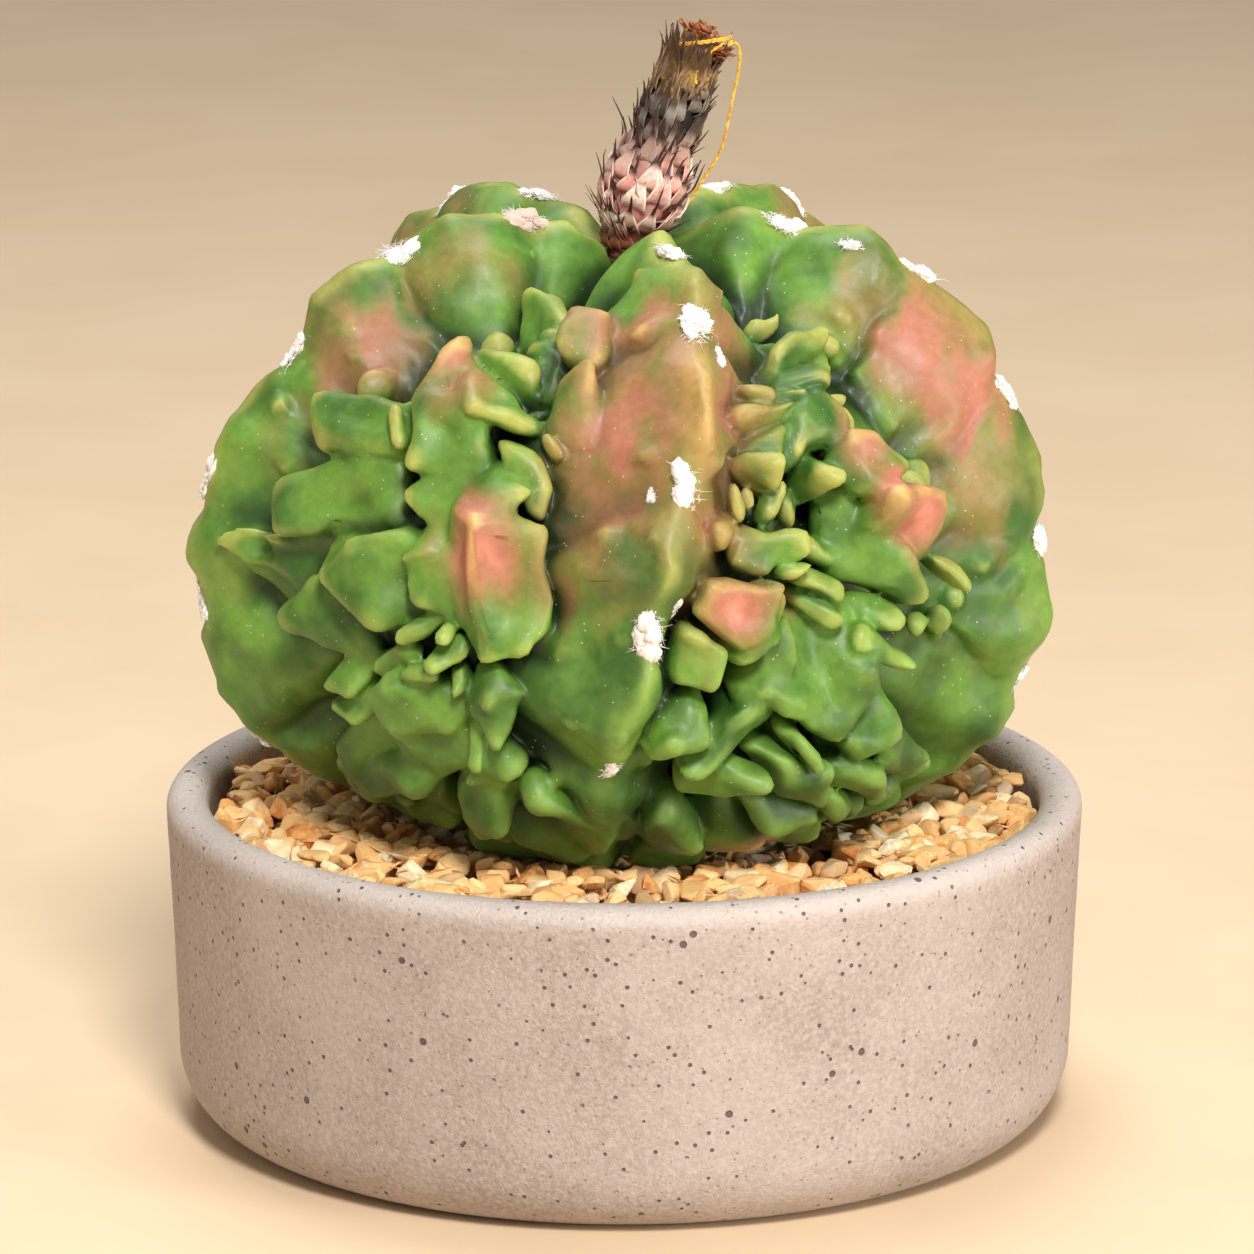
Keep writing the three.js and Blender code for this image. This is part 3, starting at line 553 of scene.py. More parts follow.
# Knobs on the ribs: turn, climb, radius
KNOBS = [
    (-15, -16, 1.2), (-14.5, -12, 1.5), (-9, -13, 1.4), (-6.5, -11.5, 1.2), (-8, -25, 1.1),
    (-17, -40, 1.7), (-11, -43, 1.3), (-0.5, -8.5, 1.5), (-2.5, -10, 1.1), (1.4, 27.5, 1.2),
    (3.4, 28, 1.5), (12.6, 27, 1.5), (10.8, 28.6, 1.1), (-2.0, 12, 1.4), (4.5, 12, 1.2),
    (-12, 22, 1.1), (9.5, -8, 1.5), (4, -41, 1.7), (7, 78, 1.6), (3, 60, 1.3), (20, 66, 1.3),
    (62, 64, 1.6), (57, 58, 1.6), (54, 53, 1.3), (59, 50, 1.2), (60, 32, 1.3), (70, -10, 1.1),
    (64, -24, 1.0), (-69, 52, 1.4), (-66, 46, 1.2), (-72, 28, 1.1), (-68, 14, 1.0),
]
KNOB_RISE = 0.62
# Hidden furrows reuse the lists: turn, width, list, source furrow, mirror, seed
BACK_FURROWS = [
    (114, 68, LEFT_FOLDS, LEFT_FURROW, 1, 11),
    (183, 70, RIGHT_FOLDS, RIGHT_FURROW, -1, 23),
    (-110, 64, LEFT_FOLDS, LEFT_FURROW, -1, 37),
]
BACK_SHIFT = 2.5
FOLD_ROOT_REACH = 22.0
FOLD_ROOT_RADIUS = 4.0
CORE_PROFILE = [(0, 54), (26, 54), (41, 70), (50, 90), (52, 106), (48, 120), (37, 131), (22, 136),
                (0, 136)]
SEAT_TOP = 50.1
BALL_POINTS = 36


def ball_directions(count):
    """Directions spread evenly over a ball."""
    index = np.arange(count) + 0.5
    height = 1 - 2 * index / count
    turn = index * math.pi * (1 + math.sqrt(5))
    flat = np.sqrt(1 - height * height)
    return np.stack([flat * np.cos(turn), flat * np.sin(turn), height], axis=1)


DIRECTIONS = ball_directions(BALL_POINTS)


def hull_planes(points):
    """Outward normals and offsets of the planes round a cloud of points."""
    cloud = bmesh.new()
    for point in points:
        cloud.verts.new(point)
    bmesh.ops.convex_hull(cloud, input=cloud.verts)
    cloud.normal_update()
    centre = np.mean(points, axis=0)
    normals = np.array([face.normal for face in cloud.faces])
    anchors = np.array([face.verts[0].co for face in cloud.faces])
    cloud.free()
    offsets = np.sum(normals * anchors, axis=1)
    inward = normals @ centre > offsets
    normals[inward] *= -1
    offsets[inward] *= -1
    return normals.astype(np.float32), offsets.astype(np.float32)


def soft_min(first, second, width):
    gap = np.maximum(width - np.abs(first - second), 0.0) / width
    return np.minimum(first, second) - gap * gap * width * 0.25


def blurred(values, sigma):
    """Values smoothed by a bell curve along each axis."""
    reach = max(1, int(math.ceil(2.5 * sigma)))
    weights = np.exp(-0.5 * (np.arange(-reach, reach + 1) / sigma) ** 2)
    weights /= weights.sum()
    for axis in range(3):
        padding = [(reach, reach) if each == axis else (0, 0) for each in range(3)]
        padded = np.pad(values, padding, mode="edge")
        length = values.shape[axis]
        total = np.zeros_like(values)
        for step, weight in enumerate(weights):
            window = [slice(None)] * 3
            window[axis] = slice(step, step + length)
            total += np.float32(weight) * padded[tuple(window)]
        values = total
    return values


class Field:
    """Distances on a grid round the plant, negative inside it."""

    LOW = np.array([-76.0, -76.0, 23.0])
    HIGH = np.array([76.0, 76.0, 158.0])
    LIMIT = 6.0

    def __init__(self, voxel):
        self.voxel = voxel
        self.axes = [np.arange(low, high, voxel, dtype=np.float32) for low, high in zip(self.LOW, self.HIGH)]
        self.shape = tuple(len(axis) for axis in self.axes)
        self.values = np.full(self.shape, self.LIMIT, np.float32)
        self.second = self.values.copy()

    def grid(self, low=None, high=None):
        window = []
        for axis, values in enumerate(self.axes):
            start = 0 if low is None else max(0, int((low[axis] - self.LOW[axis]) / self.voxel))
            stop = len(values) if high is None else int((high[axis] - self.LOW[axis]) / self.voxel) + 2
            window.append(slice(start, min(stop, len(values))))
        return tuple(window), np.meshgrid(*[a[w] for a, w in zip(self.axes, window)], indexing="ij")

    def add(self, window, values, width):
        values = np.clip(values, -self.LIMIT, self.LIMIT)
        nearest = self.values[window]
        self.second[window] = np.minimum(self.second[window], np.maximum(nearest, values))
        self.values[window] = soft_min(nearest, values, width)

    def crease(self, grooves):
        """Press grooves in along each line where two forms meet."""
        gap = np.maximum(self.second - self.values, 0)
        x, y, z = [np.sin(axis / CREASE_SIZE_MM + shift) for axis, shift in zip(self.axes, (0.4, 1.9, 3.1))]
        strength = 0.62 + 0.45 * (x[:, None, None] * y[None, :, None] + z[None, None, :] * x[:, None, None])
        strength = np.clip(strength, 0.15, 1.1).astype(np.float32)
        for depth, width in grooves:
            self.values = self.values + depth * strength * np.exp(-((gap / width) ** 2))

    def sample(self, values, points):
        """Values at points in millimetres, by linear interpolation."""
        places = (points - self.LOW) / self.voxel
        places = np.clip(places, 0, np.array(self.shape) - 1.001)
        base = places.astype(int)
        part = (places - base).astype(np.float32)
        total = np.zeros(len(points), np.float32)
        for corner in range(8):
            step = np.array([corner & 1, corner >> 1 & 1, corner >> 2 & 1])
            share = np.prod(np.where(step, part, 1 - part), axis=1)
            at = base + step
            total += share * values[at[:, 0], at[:, 1], at[:, 2]]
        return total


def rib_places(rib, x, y, z):
    """How deep a point lies below a rib's crest, how far beside it, and its climb."""
    turn = np.radians(rib["turn"])
    for _ in range(2):
        out_x, out_y = np.sin(turn), -np.cos(turn)
        along = x * out_x + y * out_y - ARC_RADIUS
        climb = np.degrees(np.arctan2(z - ARC_HEIGHT, along))
        turn = np.radians(rib_turn(rib, climb))
    side = y * out_x - x * out_y
    reach = np.hypot(along, z - ARC_HEIGHT)
    return crest_reach(rib, climb) + CREST_LIFT - reach, side, climb


def flank_dents(rib, depth, side, climb):
    """Creases that run inward from the areoles, and slow waves between them."""
    fades = np.clip(depth / 5, 0, 1) * np.clip((34 - depth) / 20, 0, 1)
    hand = np.where(side > 0, 1.0, -1.0)
    dents = 0.0
    for index, at in enumerate(rib["areoles"]):
        line = at - 3 + FLANK_BEND * depth * math.sin(1.7 * index + 0.6) + 2.5 * np.sin(depth / 4 + index + hand)
        dents = dents + np.exp(-(((climb - line) / FLANK_CREASE_ARC) ** 2))
    waves = np.sin(np.radians(climb * 21 + 60 * np.sin(depth / 9 + hand)) + hand)
    return fades * (FLANK_CREASE * dents - FLANK_WAVE * waves)


def rib_distance(rib, x, y, z):
    depth, side, climb = rib_places(rib, x, y, z)
    away = np.abs(side)
    taper, rounded = RIB_TAPER, RIB_ROUND
    if "left" in rib:
        taper = np.where(side < 0, between(rib["left"], climb), between(rib["right"], climb))
        rounded = SHARP_ROUND
    root = np.sqrt(rounded ** 2 + 4 * taper * away)
    share = (root - rounded) / (2 * taper)
    slope = 2 * share / root
    distance = (share * share - depth) / np.sqrt(1 + slope * slope)
    near = np.clip(1 - np.abs(distance) / 4, 0, 1)
    distance = distance + near * flank_dents(rib, depth, side, climb)
    for at, arc, height in rib.get("ridges", []):
        distance = distance - height * np.exp(-((side / RIDGE_HALF) ** 2) - ((climb - at) / arc) ** 4)
    return distance


def turned_distance(profile, radius, z):
    """Distance to a convex turned shape whose profile starts and ends on the middle line."""
    result = None
    for (r0, z0), (r1, z1) in zip(profile, profile[1:]):
        length = math.hypot(r1 - r0, z1 - z0)
        normal_r, normal_z = (z1 - z0) / length, -(r1 - r0) / length
        plane = (radius - r0) * normal_r + (z - z0) * normal_z
        result = plane if result is None else np.maximum(result, plane)
    return result


def fold_cloud(tips):
    """The middles of a facet's tips, and points on balls round them and round its root."""
    middles, points = [], []
    highest = min(tip[2] for tip in tips)
    for turn, climb, sink, radius in tips:
        if len(tips) > 2 and sink > highest:
            sink = sink + TILT_MM * (0.5 + 0.5 * math.sin(3.1 * climb + 1.7 * turn))
        reach = between(PLAIN_OUTLINE, climb) - sink - TIP_SHARE * radius + 0.6
        middles.append(np.array(on_plant(turn, climb, reach)))
    centre = np.mean(middles, axis=0)
    for index, (turn, climb, sink, radius) in enumerate(tips):
        away = middles[index] - centre
        away *= (1 - TIP_SHARE) * radius / max(np.linalg.norm(away), 2.0)
        middles[index] = middles[index] + away
        points.append(middles[index] + TIP_SHARE * radius * DIRECTIONS)
    mean_turn = sum(tip[0] for tip in tips) / len(tips)
    mean_climb = sum(tip[1] for tip in tips) / len(tips)
    root = np.array(on_plant(mean_turn, mean_climb, FOLD_ROOT_REACH))
    points.append(root + FOLD_ROOT_RADIUS * DIRECTIONS)
    return middles, np.concatenate(points)


def rim_lines(tips, middles):
    """The lines round a facet, from tip to tip."""
    if len(tips) == 2:
        return [tuple(middles)]
    mean_turn = sum(tip[0] for tip in tips) / len(tips)
    mean_climb = sum(tip[1] for tip in tips) / len(tips)
    order = sorted(range(len(tips)), key=lambda i: math.atan2(tips[i][1] - mean_climb, tips[i][0] - mean_turn))
    return [(middles[a], middles[b]) for a, b in zip(order, order[1:] + order[:1])]


def line_distance(places, start, end):
    along = end - start
    share = np.clip((places - start) @ along / max(along @ along, 1e-6), 0, 1)
    return np.linalg.norm(places - start - share[:, None] * along, axis=1)


def facet_distance(tips, places):
    middles, cloud = fold_cloud(tips)
    normals, offsets = hull_planes(cloud)
    distance = np.full(len(places), -99.0, np.float32)
    for start in range(0, len(normals), 24):
        chunk = places @ normals[start:start + 24].T - offsets[start:start + 24]
        distance = np.maximum(distance, chunk.max(axis=1))
    close = np.flatnonzero(distance < Field.LIMIT)
    rim = np.min([line_distance(places[close], *line) for line in rim_lines(tips, middles)], axis=0)
    radius = sum(tip[3] for tip in tips) / len(tips)
    share = np.clip((rim - TIP_SHARE * radius) / SAG_REACH, 0, 1)
    distance[close] += SAG_SHARE * radius * share * share * (3 - 2 * share)
    return distance


def add_fold(field, facets):
    """Facets that share a tip make one fold."""
    clouds = [fold_cloud(tips)[1] for tips in facets]
    outer = np.concatenate([cloud[:-BALL_POINTS] for cloud in clouds])
    root = np.mean([cloud[-BALL_POINTS:].mean(axis=0) for cloud in clouds], axis=0)
    inner = root + 0.35 * (outer.mean(axis=0) - root)
    low = np.minimum(outer.min(axis=0), inner - 4) - 2.5
    high = np.maximum(outer.max(axis=0), inner + 4) + 2.5
    window, (x, y, z) = field.grid(low, high)
    places = np.stack([x.ravel(), y.ravel(), z.ravel()], axis=1)
    distance = None
    for tips in facets:
        facet = facet_distance(tips, places)
        distance = facet if distance is None else soft_min(distance, facet, FACET_BLEND)
    field.add(window, distance.reshape(x.shape), FOLD_BLEND)


def grouped(facets):
    """Facets gathered into folds: those with a tip at the same turn and climb belong together."""
    folds = []
    for tips in facets:
        spots = {tip[:2] for tip in tips}
        joined = [fold for fold in folds if spots & {tip[:2] for facet in fold for tip in facet}]
        folds = [fold for fold in folds if fold not in joined]
        folds.append([facet for fold in joined for facet in fold] + [tips])
    return folds


def all_folds():
    folds = [*grouped(LEFT_FOLDS), *grouped(RIGHT_FOLDS), *grouped(BELLY_FOLDS)]
    for turn in FOOT_TURNS:
        folds.append([[(turn - 5, -65, 3, 4), (turn + 4, -62, 3, 4), (turn, -56, 4, 4)]])
    for turn, width, source, (from_turn, from_width), mirror, seed in BACK_FURROWS:
        draw = random.Random(seed)
        for fold in grouped(source):
            turned = draw.uniform(-BACK_SHIFT, BACK_SHIFT)
            climbed = draw.uniform(-BACK_SHIFT, BACK_SHIFT)
            folds.append([[(turn + turned + mirror * (tip[0] - from_turn) * width / from_width,
                            tip[1] + climbed, max(tip[2], 1.0) + (4.0 if tip[1] > 20 else 1.0), tip[3])
                           for tip in facet]
                          for facet in fold])
    return folds


FURROWS = [(-37, 34), (42, 30), (114, 26), (183, 27), (-110, 24)]
BEAD_COUNT = 44


def add_beads(field):
    """Small knobs deep in the furrows, between the folds."""
    draw = random.Random(91)
    for turn, half in FURROWS:
        for _ in range(BEAD_COUNT):
            climb = draw.uniform(-48, 70)
            at = turn + draw.uniform(-half, half) * math.cos(math.radians(climb)) ** 0.5
            radius = draw.uniform(2.2, 3.6)
            reach = between(PLAIN_OUTLINE, climb) - draw.uniform(9, 13) - radius
            centre = np.array(on_plant(at, climb, reach))
            window, (x, y, z) = field.grid(centre - radius - 4, centre + radius + 4)
            gap = np.sqrt((x - centre[0]) ** 2 + (y - centre[1]) ** 2 + (z - centre[2]) ** 2) - radius
            field.add(window, gap, 2.0)


def add_knobs(field):
    for turn, climb, radius in KNOBS:
        line = np.array([on_plant(turn, climb, reach) for reach in np.arange(60, 25, -0.4)])
        inside = np.flatnonzero(field.sample(field.values, line) < 0)
        if len(inside) == 0:
            continue
        outward_step = (line[0] - line[-1]) / np.linalg.norm(line[0] - line[-1])
        centre = line[inside[0]] + outward_step * radius * (KNOB_RISE - 0.5)
        window, (x, y, z) = field.grid(centre - radius - 6, centre + radius + 6)
        gap = np.sqrt((x - centre[0]) ** 2 + (y - centre[1]) ** 2 + (z - centre[2]) ** 2) - radius
        field.values[window] = soft_min(field.values[window], gap.astype(np.float32), BUMP_BLEND)


def plant_field(voxel):
    field = Field(voxel)
    window, (x, y, z) = field.grid()
    radius = np.hypot(x, y)
    field.add(window, turned_distance(CORE_PROFILE, radius, z), 0.1)
    for facets in all_folds():
        add_fold(field, facets)
    add_beads(field)
    for rib in RIBS:
        field.add(window, rib_distance(rib, x, y, z), RIB_BLEND)
    field.crease(CREASES)
    add_knobs(field)
    field.values = blurred(field.values, FIELD_BLUR / voxel)
    field.values = np.maximum(field.values, SEAT_TOP - z)
    seat = np.maximum(radius - np.interp(z, [142.5, 146, 148, 154], [3.8, 3.8, 8, 11]), 142.5 - z)
    field.values = np.maximum(field.values, -seat)
    root = turned_distance([(0, 25), (7, 25), (18, 38), (20, 53), (0, 53)], radius, z)
    field.values = np.minimum(field.values, np.clip(root, -field.LIMIT, field.LIMIT))
    return field


TIP_SHARE = 0.74
TILT_MM = 3.4
FOLD_BLEND = 0.7
FACET_BLEND = 0.6
RIB_BLEND = 1.2
BUMP_BLEND = 2.0
SAG_SHARE = 0.8
SAG_REACH = 4.0
CREASES = [(1.6, 0.8), (0.8, 2.6)]
CREASE_SIZE_MM = 5.3
FIELD_BLUR = 0.5
WARP_MM = 1.9
WARP_SIZE_MM = 13.0
FINE_WARP_MM = 0.9
FINE_WARP_SIZE_MM = 5.2
TRIANGLES = 190000


def surface_of(field):
    grid = vdb.FloatGrid(field.LIMIT)
    grid.copyFromArray(field.values, ijk=(0, 0, 0), tolerance=0)
    points, triangles, quads = grid.convertToPolygons(isovalue=0, adaptivity=0.0)
    points = points.astype(float) * field.voxel + field.LOW
    faces = np.concatenate([quads[:, [0, 1, 2]], quads[:, [0, 2, 3]], triangles.reshape(-1, 3)])
    return points, faces


def largest_shell(points, faces):
    """The biggest set of faces that hang together."""
    label = np.arange(len(points))
    while True:
        lowest = label[faces].min(axis=1)
        before = label.copy()
        for corner in range(3):
            np.minimum.at(label, faces[:, corner], lowest)
        label = label[label]
        if np.array_equal(before, label):
            break
    names, counts = np.unique(label[faces[:, 0]], return_counts=True)
    faces = faces[label[faces[:, 0]] == names[counts.argmax()]]
    used = np.unique(faces)
    where = np.zeros(len(points), int)
    where[used] = np.arange(len(used))
    return points[used], where[faces]


def warp_surface(item):
    """Move the points by slow noise, but not near the ground or the seat of the flower."""
    for vert in item.data.vertices:
        spot = vert.co / MM
        hold = min(1.0, max(0.0, (spot.z - 50.4) / 6.0))
        hold *= min(1.0, max(0.0, (spot.xy.length - 8.0) / 8.0))
        if hold <= 0.0:
            continue
        move = WARP_MM * noise.noise_vector(spot / WARP_SIZE_MM)
        move += FINE_WARP_MM * noise.noise_vector(spot / FINE_WARP_SIZE_MM + Vector((7, 3, 1)))
        vert.co += hold * MM * move


def with_fewer_faces(item, limit):
    count = len(item.data.polygons)
    if count <= limit:
        return
    modifier = item.modifiers.new("fewer", "DECIMATE")
    modifier.ratio = limit / count
    depsgraph = bpy.context.evaluated_depsgraph_get()
    mesh = bpy.data.meshes.new_from_object(item.evaluated_get(depsgraph))
    item.modifiers.clear()
    old = item.data
    item.data = mesh
    bpy.data.meshes.remove(old)


# Where folds blush: turn, climb, reach, radius of the patch, strength
FOLD_BLUSHES = [
    (-20, 7, 46, 7.5, 1.3), (-21, 15, 45, 5, 1.1), (15, -2, 46, 7, 1.15), (47, 10, 44, 7, 1.1),
    (42, 16, 44, 5, 1.1), (39, 27, 43, 6, 0.9), (-33, 50, 44, 5, 0.95), (-28, 44, 42, 6, 0.7),
    (-12, 66, 42, 6, 0.6), (22, 60, 44, 7, 0.5), (112, 30, 42, 10, 0.7), (182, 10, 44, 10, 0.7),
    (-112, 15, 44, 9, 0.7), (25, -64, 53, 5, 1.4),
]
# Where ribs blush: climb and half its spread, depth and half its spread, strength
RIB_BLUSHES = [
    [(60, 14, 6, 9, 0.75), (36, 16, 6, 12, 0.85), (14, 15, 7, 11, 0.75), (-4, 10, 3, 6, 0.35)],
    [(66, 12, 8, 8, 0.55), (44, 18, 8, 9, 1.05), (24, 12, 5, 8, 1.0), (6, 14, 9, 10, 0.6),
     (-18, 12, 5, 6, 0.25)],
    [(56, 13, 9, 9, 0.95), (78, 10, 6, 7, 0.5), (42, 7, 7, 8, 0.7), (22, 12, 9, 8, 0.35),
     (-6, 12, 4, 5, 0.2)],
    [(58, 18, 8, 9, 0.9), (16, 20, 8, 9, 0.7)],
    [(60, 18, 8, 9, 0.8), (20, 18, 8, 9, 0.8)],
]


def slow_waves(places, size, seed):
    """A smooth uneven value for each point, from about -1 to 1."""
    turns = np.random.default_rng(seed).normal(size=(6, 3)) / size
    total = np.zeros(len(places))
    for index, turn in enumerate(turns):
        total += np.sin(places @ turn * 2.6 + index * 1.9)
    return total / 2.4


def paint_skin(item, field):
    """Marks for the colours: edges, recesses, blush and the pale crest."""
    mesh = item.data
    places = np.zeros(len(mesh.vertices) * 3, np.float32)
    mesh.vertices.foreach_get("co", places)
    places = places.reshape(-1, 3) / MM
    filled = (field.values < 0).astype(np.float32)
    near = field.sample(blurred(filled, 1.5 / field.voxel), places)
    wide = field.sample(blurred(filled, 5.5 / field.voxel), places)
    x, y, z = places.T
    uneven = slow_waves(places, 9.0, 3)
    crest = np.zeros(len(places))
    ridge = np.zeros(len(places))
    blush = np.zeros(len(places))
    for index, rib in enumerate(RIBS):
        depth, side, climb = rib_places(rib, x, y, z)
        own = np.clip(1.4 - np.abs(side) / (9 + 1.3 * np.maximum(depth, 0)), 0, 1)
        if "left" in rib:
            own = np.clip(1.6 - np.abs(side + 5) / 16, 0, 1)
            peach = np.exp(-((side / 2.4) ** 2)) * np.clip(1 - np.abs(depth) / 4, 0, 1)
            crest = np.maximum(crest, peach * np.exp(-(((climb - 38) / 9) ** 4)))
        line = np.exp(-((side / 3.2) ** 2)) * np.clip(1.1 - np.abs(depth) / 5, 0, 1)
        ridge = np.maximum(ridge, line * np.clip(0.75 + 0.35 * uneven, 0, 1))
        for at, arc, below, spread, strength in RIB_BLUSHES[index]:
            gap = ((climb - at + 7 * uneven) / arc) ** 2 + ((depth - below) / spread) ** 2
            blush = np.maximum(blush, own * strength * np.exp(-gap))
    blush *= np.clip(1.25 - 1.6 * np.clip(wide - 0.5, 0, 1), 0, 1)
    for turn, climb, reach, radius, strength in FOLD_BLUSHES:
        gap = np.sum((places - np.array(on_plant(turn, climb, reach))) ** 2, axis=1) / radius ** 2
        blush = np.maximum(blush, strength * np.exp(-gap * (1 + 0.35 * uneven)))
    marks = {
        "edge": np.maximum(np.clip((0.445 - near) / 0.17, 0, 1), 0.9 * ridge),
        # How enclosed a point is: it darkens the hollows as painted shade
        "recess_shade": np.clip((wide - 0.46) / 0.3, 0, 1),
        "crest": crest,
        "blush": blush,
    }
    for name, values in marks.items():
        layer = mesh.attributes.new(name, "FLOAT", "POINT")
        layer.data.foreach_set("value", values.astype(np.float32))


def skin_material():
    shade = Shade("cactus_skin")
    edge, recess_shade = shade.mark("edge"), shade.mark("recess_shade")
    blush, crest = shade.mark("blush"), shade.mark("crest")
    height = shade.separate(shade.places)[2]
    upper = shade.span(height, 0.075, 0.125)
    patches = shade.noise(15.0, 4.0, 0.55)
    speckle = shade.noise(1.6, 4.0, 0.6)
    green = shade.mix(shade.span(patches, 0.32, 0.7), linear(52, 92, 26), linear(108, 151, 55))
    # Painted shade: the green turns deep and dark in the recesses
    green = shade.mix(shade.span(recess_shade, 0.05, 0.75), green, linear(26, 68, 6))
    # The pale edges are partly the plant's own yellow-green and partly painted light for the glow through the
    # thin rims
    pale = shade.mix(upper, linear(142, 178, 82), linear(190, 184, 96))
    edge_share = shade.math("MULTIPLY", shade.span(edge, 0.05, 1.0), 0.66)
    colour = shade.mix(edge_share, green, pale)
    uneven = shade.math("ADD", blush, shade.math("MULTIPLY", shade.math("SUBTRACT", patches, 0.5), 0.5))
    olive_share = shade.span(uneven, 0.12, 0.6, 0.0, 0.8)
    colour = shade.mix(olive_share, colour, linear(146, 116, 68))
    rose = shade.mix(shade.span(edge, 0.1, 0.8), linear(178, 110, 90), linear(216, 172, 104))
    rose = shade.mix(shade.span(blush, 0.9, 1.3), rose, linear(236, 150, 130))
    colour = shade.mix(shade.span(uneven, 0.42, 1.0, 0.0, 0.92), colour, rose)
    colour = shade.mix(shade.math("MULTIPLY", crest, 0.85), colour, linear(228, 172, 108))
    # Real speckled mottle, multiplied by painted shade that darkens the recesses
    mottle_and_recess_shade = shade.math("MULTIPLY", shade.span(speckle, 0.25, 0.8, 0.88, 1.1),
                        shade.span(recess_shade, 0.03, 0.8, 1.07, 0.36))
    colour = shade.mix(1.0, colour, shade.grey(mottle_and_recess_shade), "MULTIPLY")
    # Painted shade: the skin darkens towards the foot of the plant
    low = shade.span(height, 0.052, 0.1, 0.76, 1.0)
    colour = shade.mix(1.0, colour, shade.grey(low), "MULTIPLY")
    flecks = shade.span(shade.cells(1.4), 0.13, 0.06)
    few = shade.span(shade.noise(6.0, 2.0), 0.5, 0.6)
    colour = shade.mix(shade.math("MULTIPLY", shade.math("MULTIPLY", flecks, few), 0.5), colour,
                       linear(236, 230, 204))
    wax = shade.noise(2.6, 3.0, 0.55)
    fine = shade.noise(0.5, 2.0)
    normal = shade.bump(wax, 0.16, 0.45)
    normal = shade.bump(fine, 0.12, 0.12, normal)
    shade.set(Base_Color=colour, Roughness=shade.span(speckle, 0.3, 0.7, 0.44, 0.58), Normal=normal)
    surface = shade.surface.inputs
    surface["Subsurface Weight"].default_value = 0.12
    surface["Subsurface Radius"].default_value = (1.0, 1.2, 0.4)
    surface["Subsurface Scale"].default_value = 0.0014
    surface["Coat Weight"].default_value = 0.06
    surface["Coat Roughness"].default_value = 0.32
    return shade.material


def make_cactus():
    field = plant_field(0.8)
    points, faces = largest_shell(*surface_of(field))
    item = new_object("cactus_plant", points, faces.tolist(), {}, skin_material())
    with_fewer_faces(item, TRIANGLES)
    item.data.polygons.foreach_set("use_smooth", [True] * len(item.data.polygons))
    paint_skin(item, field)
    warp_surface(item)
    return as_piece(item, "cactus_skin", "cactus_body")


plant = make_cactus()


# Wool of the areoles: a lumpy pad with curled strands, seated on the skin
SMALL_TUFTS = [(17, 50, 0.5, False), (7, -2, 0.5, False), (72, 70, 0.55, False), (-84, 56, 0.5, False),
               (4, 20, 0.5, False)]
AGED_AREOLE = (-78, 97)
STRANDS = 120
STRAND_RADIUS = 0.09
PAD_HALF = (2.1, 2.9, 1.4)
PADS = 7


def skin_tree(item):
    return BVHTree.FromObject(item, bpy.context.evaluated_depsgraph_get())


def on_skin(tree, turn, climb):
    """Where the skin is, in millimetres, at a turn and climb, and which way it faces."""
    outer = on_plant(turn, climb, 75) * MM
    inner = on_plant(turn, climb, 30) * MM
    place, normal, _, _ = tree.ray_cast(outer, (inner - outer).normalized())
    if place is None:
        return on_plant(turn, climb, 48), (outer - inner).normalized()
    return place / MM, normal


def add_pad(parts, centre, axes, size, draw, aged):
    ball = bmesh.new()
    bmesh.ops.create_icosphere(ball, subdivisions=3, radius=1.0)
    shift = Vector((draw.uniform(0, 50), draw.uniform(0, 50), draw.uniform(0, 50)))
    points = []
    for vert in ball.verts:
        lump = 1.0 + 0.5 * noise.noise(vert.co * 2.2 + shift) + 0.3 * noise.noise(vert.co * 6.5 + shift)
        spot = [vert.co[axis] * PAD_HALF[axis] * size * lump for axis in range(3)]
        points.append(centre + axes @ Vector(spot))
    parts.add(points, [tuple(vert.index for vert in face.verts) for face in ball.faces],
              age=1.0 if aged else 0.7 * draw.random())
    ball.free()


def add_strand(parts, start, axes, size, draw):
    """A short curled hair that leaves the felt sideways and bends back to the skin."""
    angle = draw.uniform(0, 2 * math.pi)
    flat = Vector((math.cos(angle), math.sin(angle) - 0.35, 0.0))
    heading = (flat + Vector((0, 0, draw.uniform(0.1, 0.9)))).normalized()
    curl = Vector((draw.gauss(0, 0.8), draw.gauss(0, 0.8), draw.uniform(-1.1, -0.2)))
    length = draw.uniform(0.5, 1.5) * size
    line = []
    for step in range(5):
        share = step / 4
        line.append(start + axes @ (heading * length * share + curl * length * share * share * 0.55))
    radii = [STRAND_RADIUS * (1 - 0.2 * step) for step in range(5)]
    add_tube(parts, line, radii, 3, age=draw.random() * 0.7)


def add_tuft(parts, tree, turn, climb, size, draw, aged=False):
    place, normal = on_skin(tree, turn, climb)
    up = on_plant(turn, climb + 1, 48) - on_plant(turn, climb, 48)
    up = (up - normal * up.dot(normal)).normalized()
    axes = Matrix((up.cross(normal), up, normal)).transposed()
    for _ in range(PADS):
        offset = Vector((draw.uniform(-1.1, 1.1), draw.uniform(-2.7, 2.7), draw.uniform(-0.3, 0.6))) * size
        add_pad(parts, place + axes @ offset, axes, size * draw.uniform(0.4, 0.74), draw, aged)
    for _ in range(int(STRANDS * size)):
        angle, spread = draw.uniform(0, 2 * math.pi), math.sqrt(draw.random())
        spot = Vector((1.1 * PAD_HALF[0] * spread * math.cos(angle),
                       1.5 * PAD_HALF[1] * spread * math.sin(angle), 0.7 - 0.6 * spread))
        add_strand(parts, place + axes @ (spot * size), axes, size, draw)


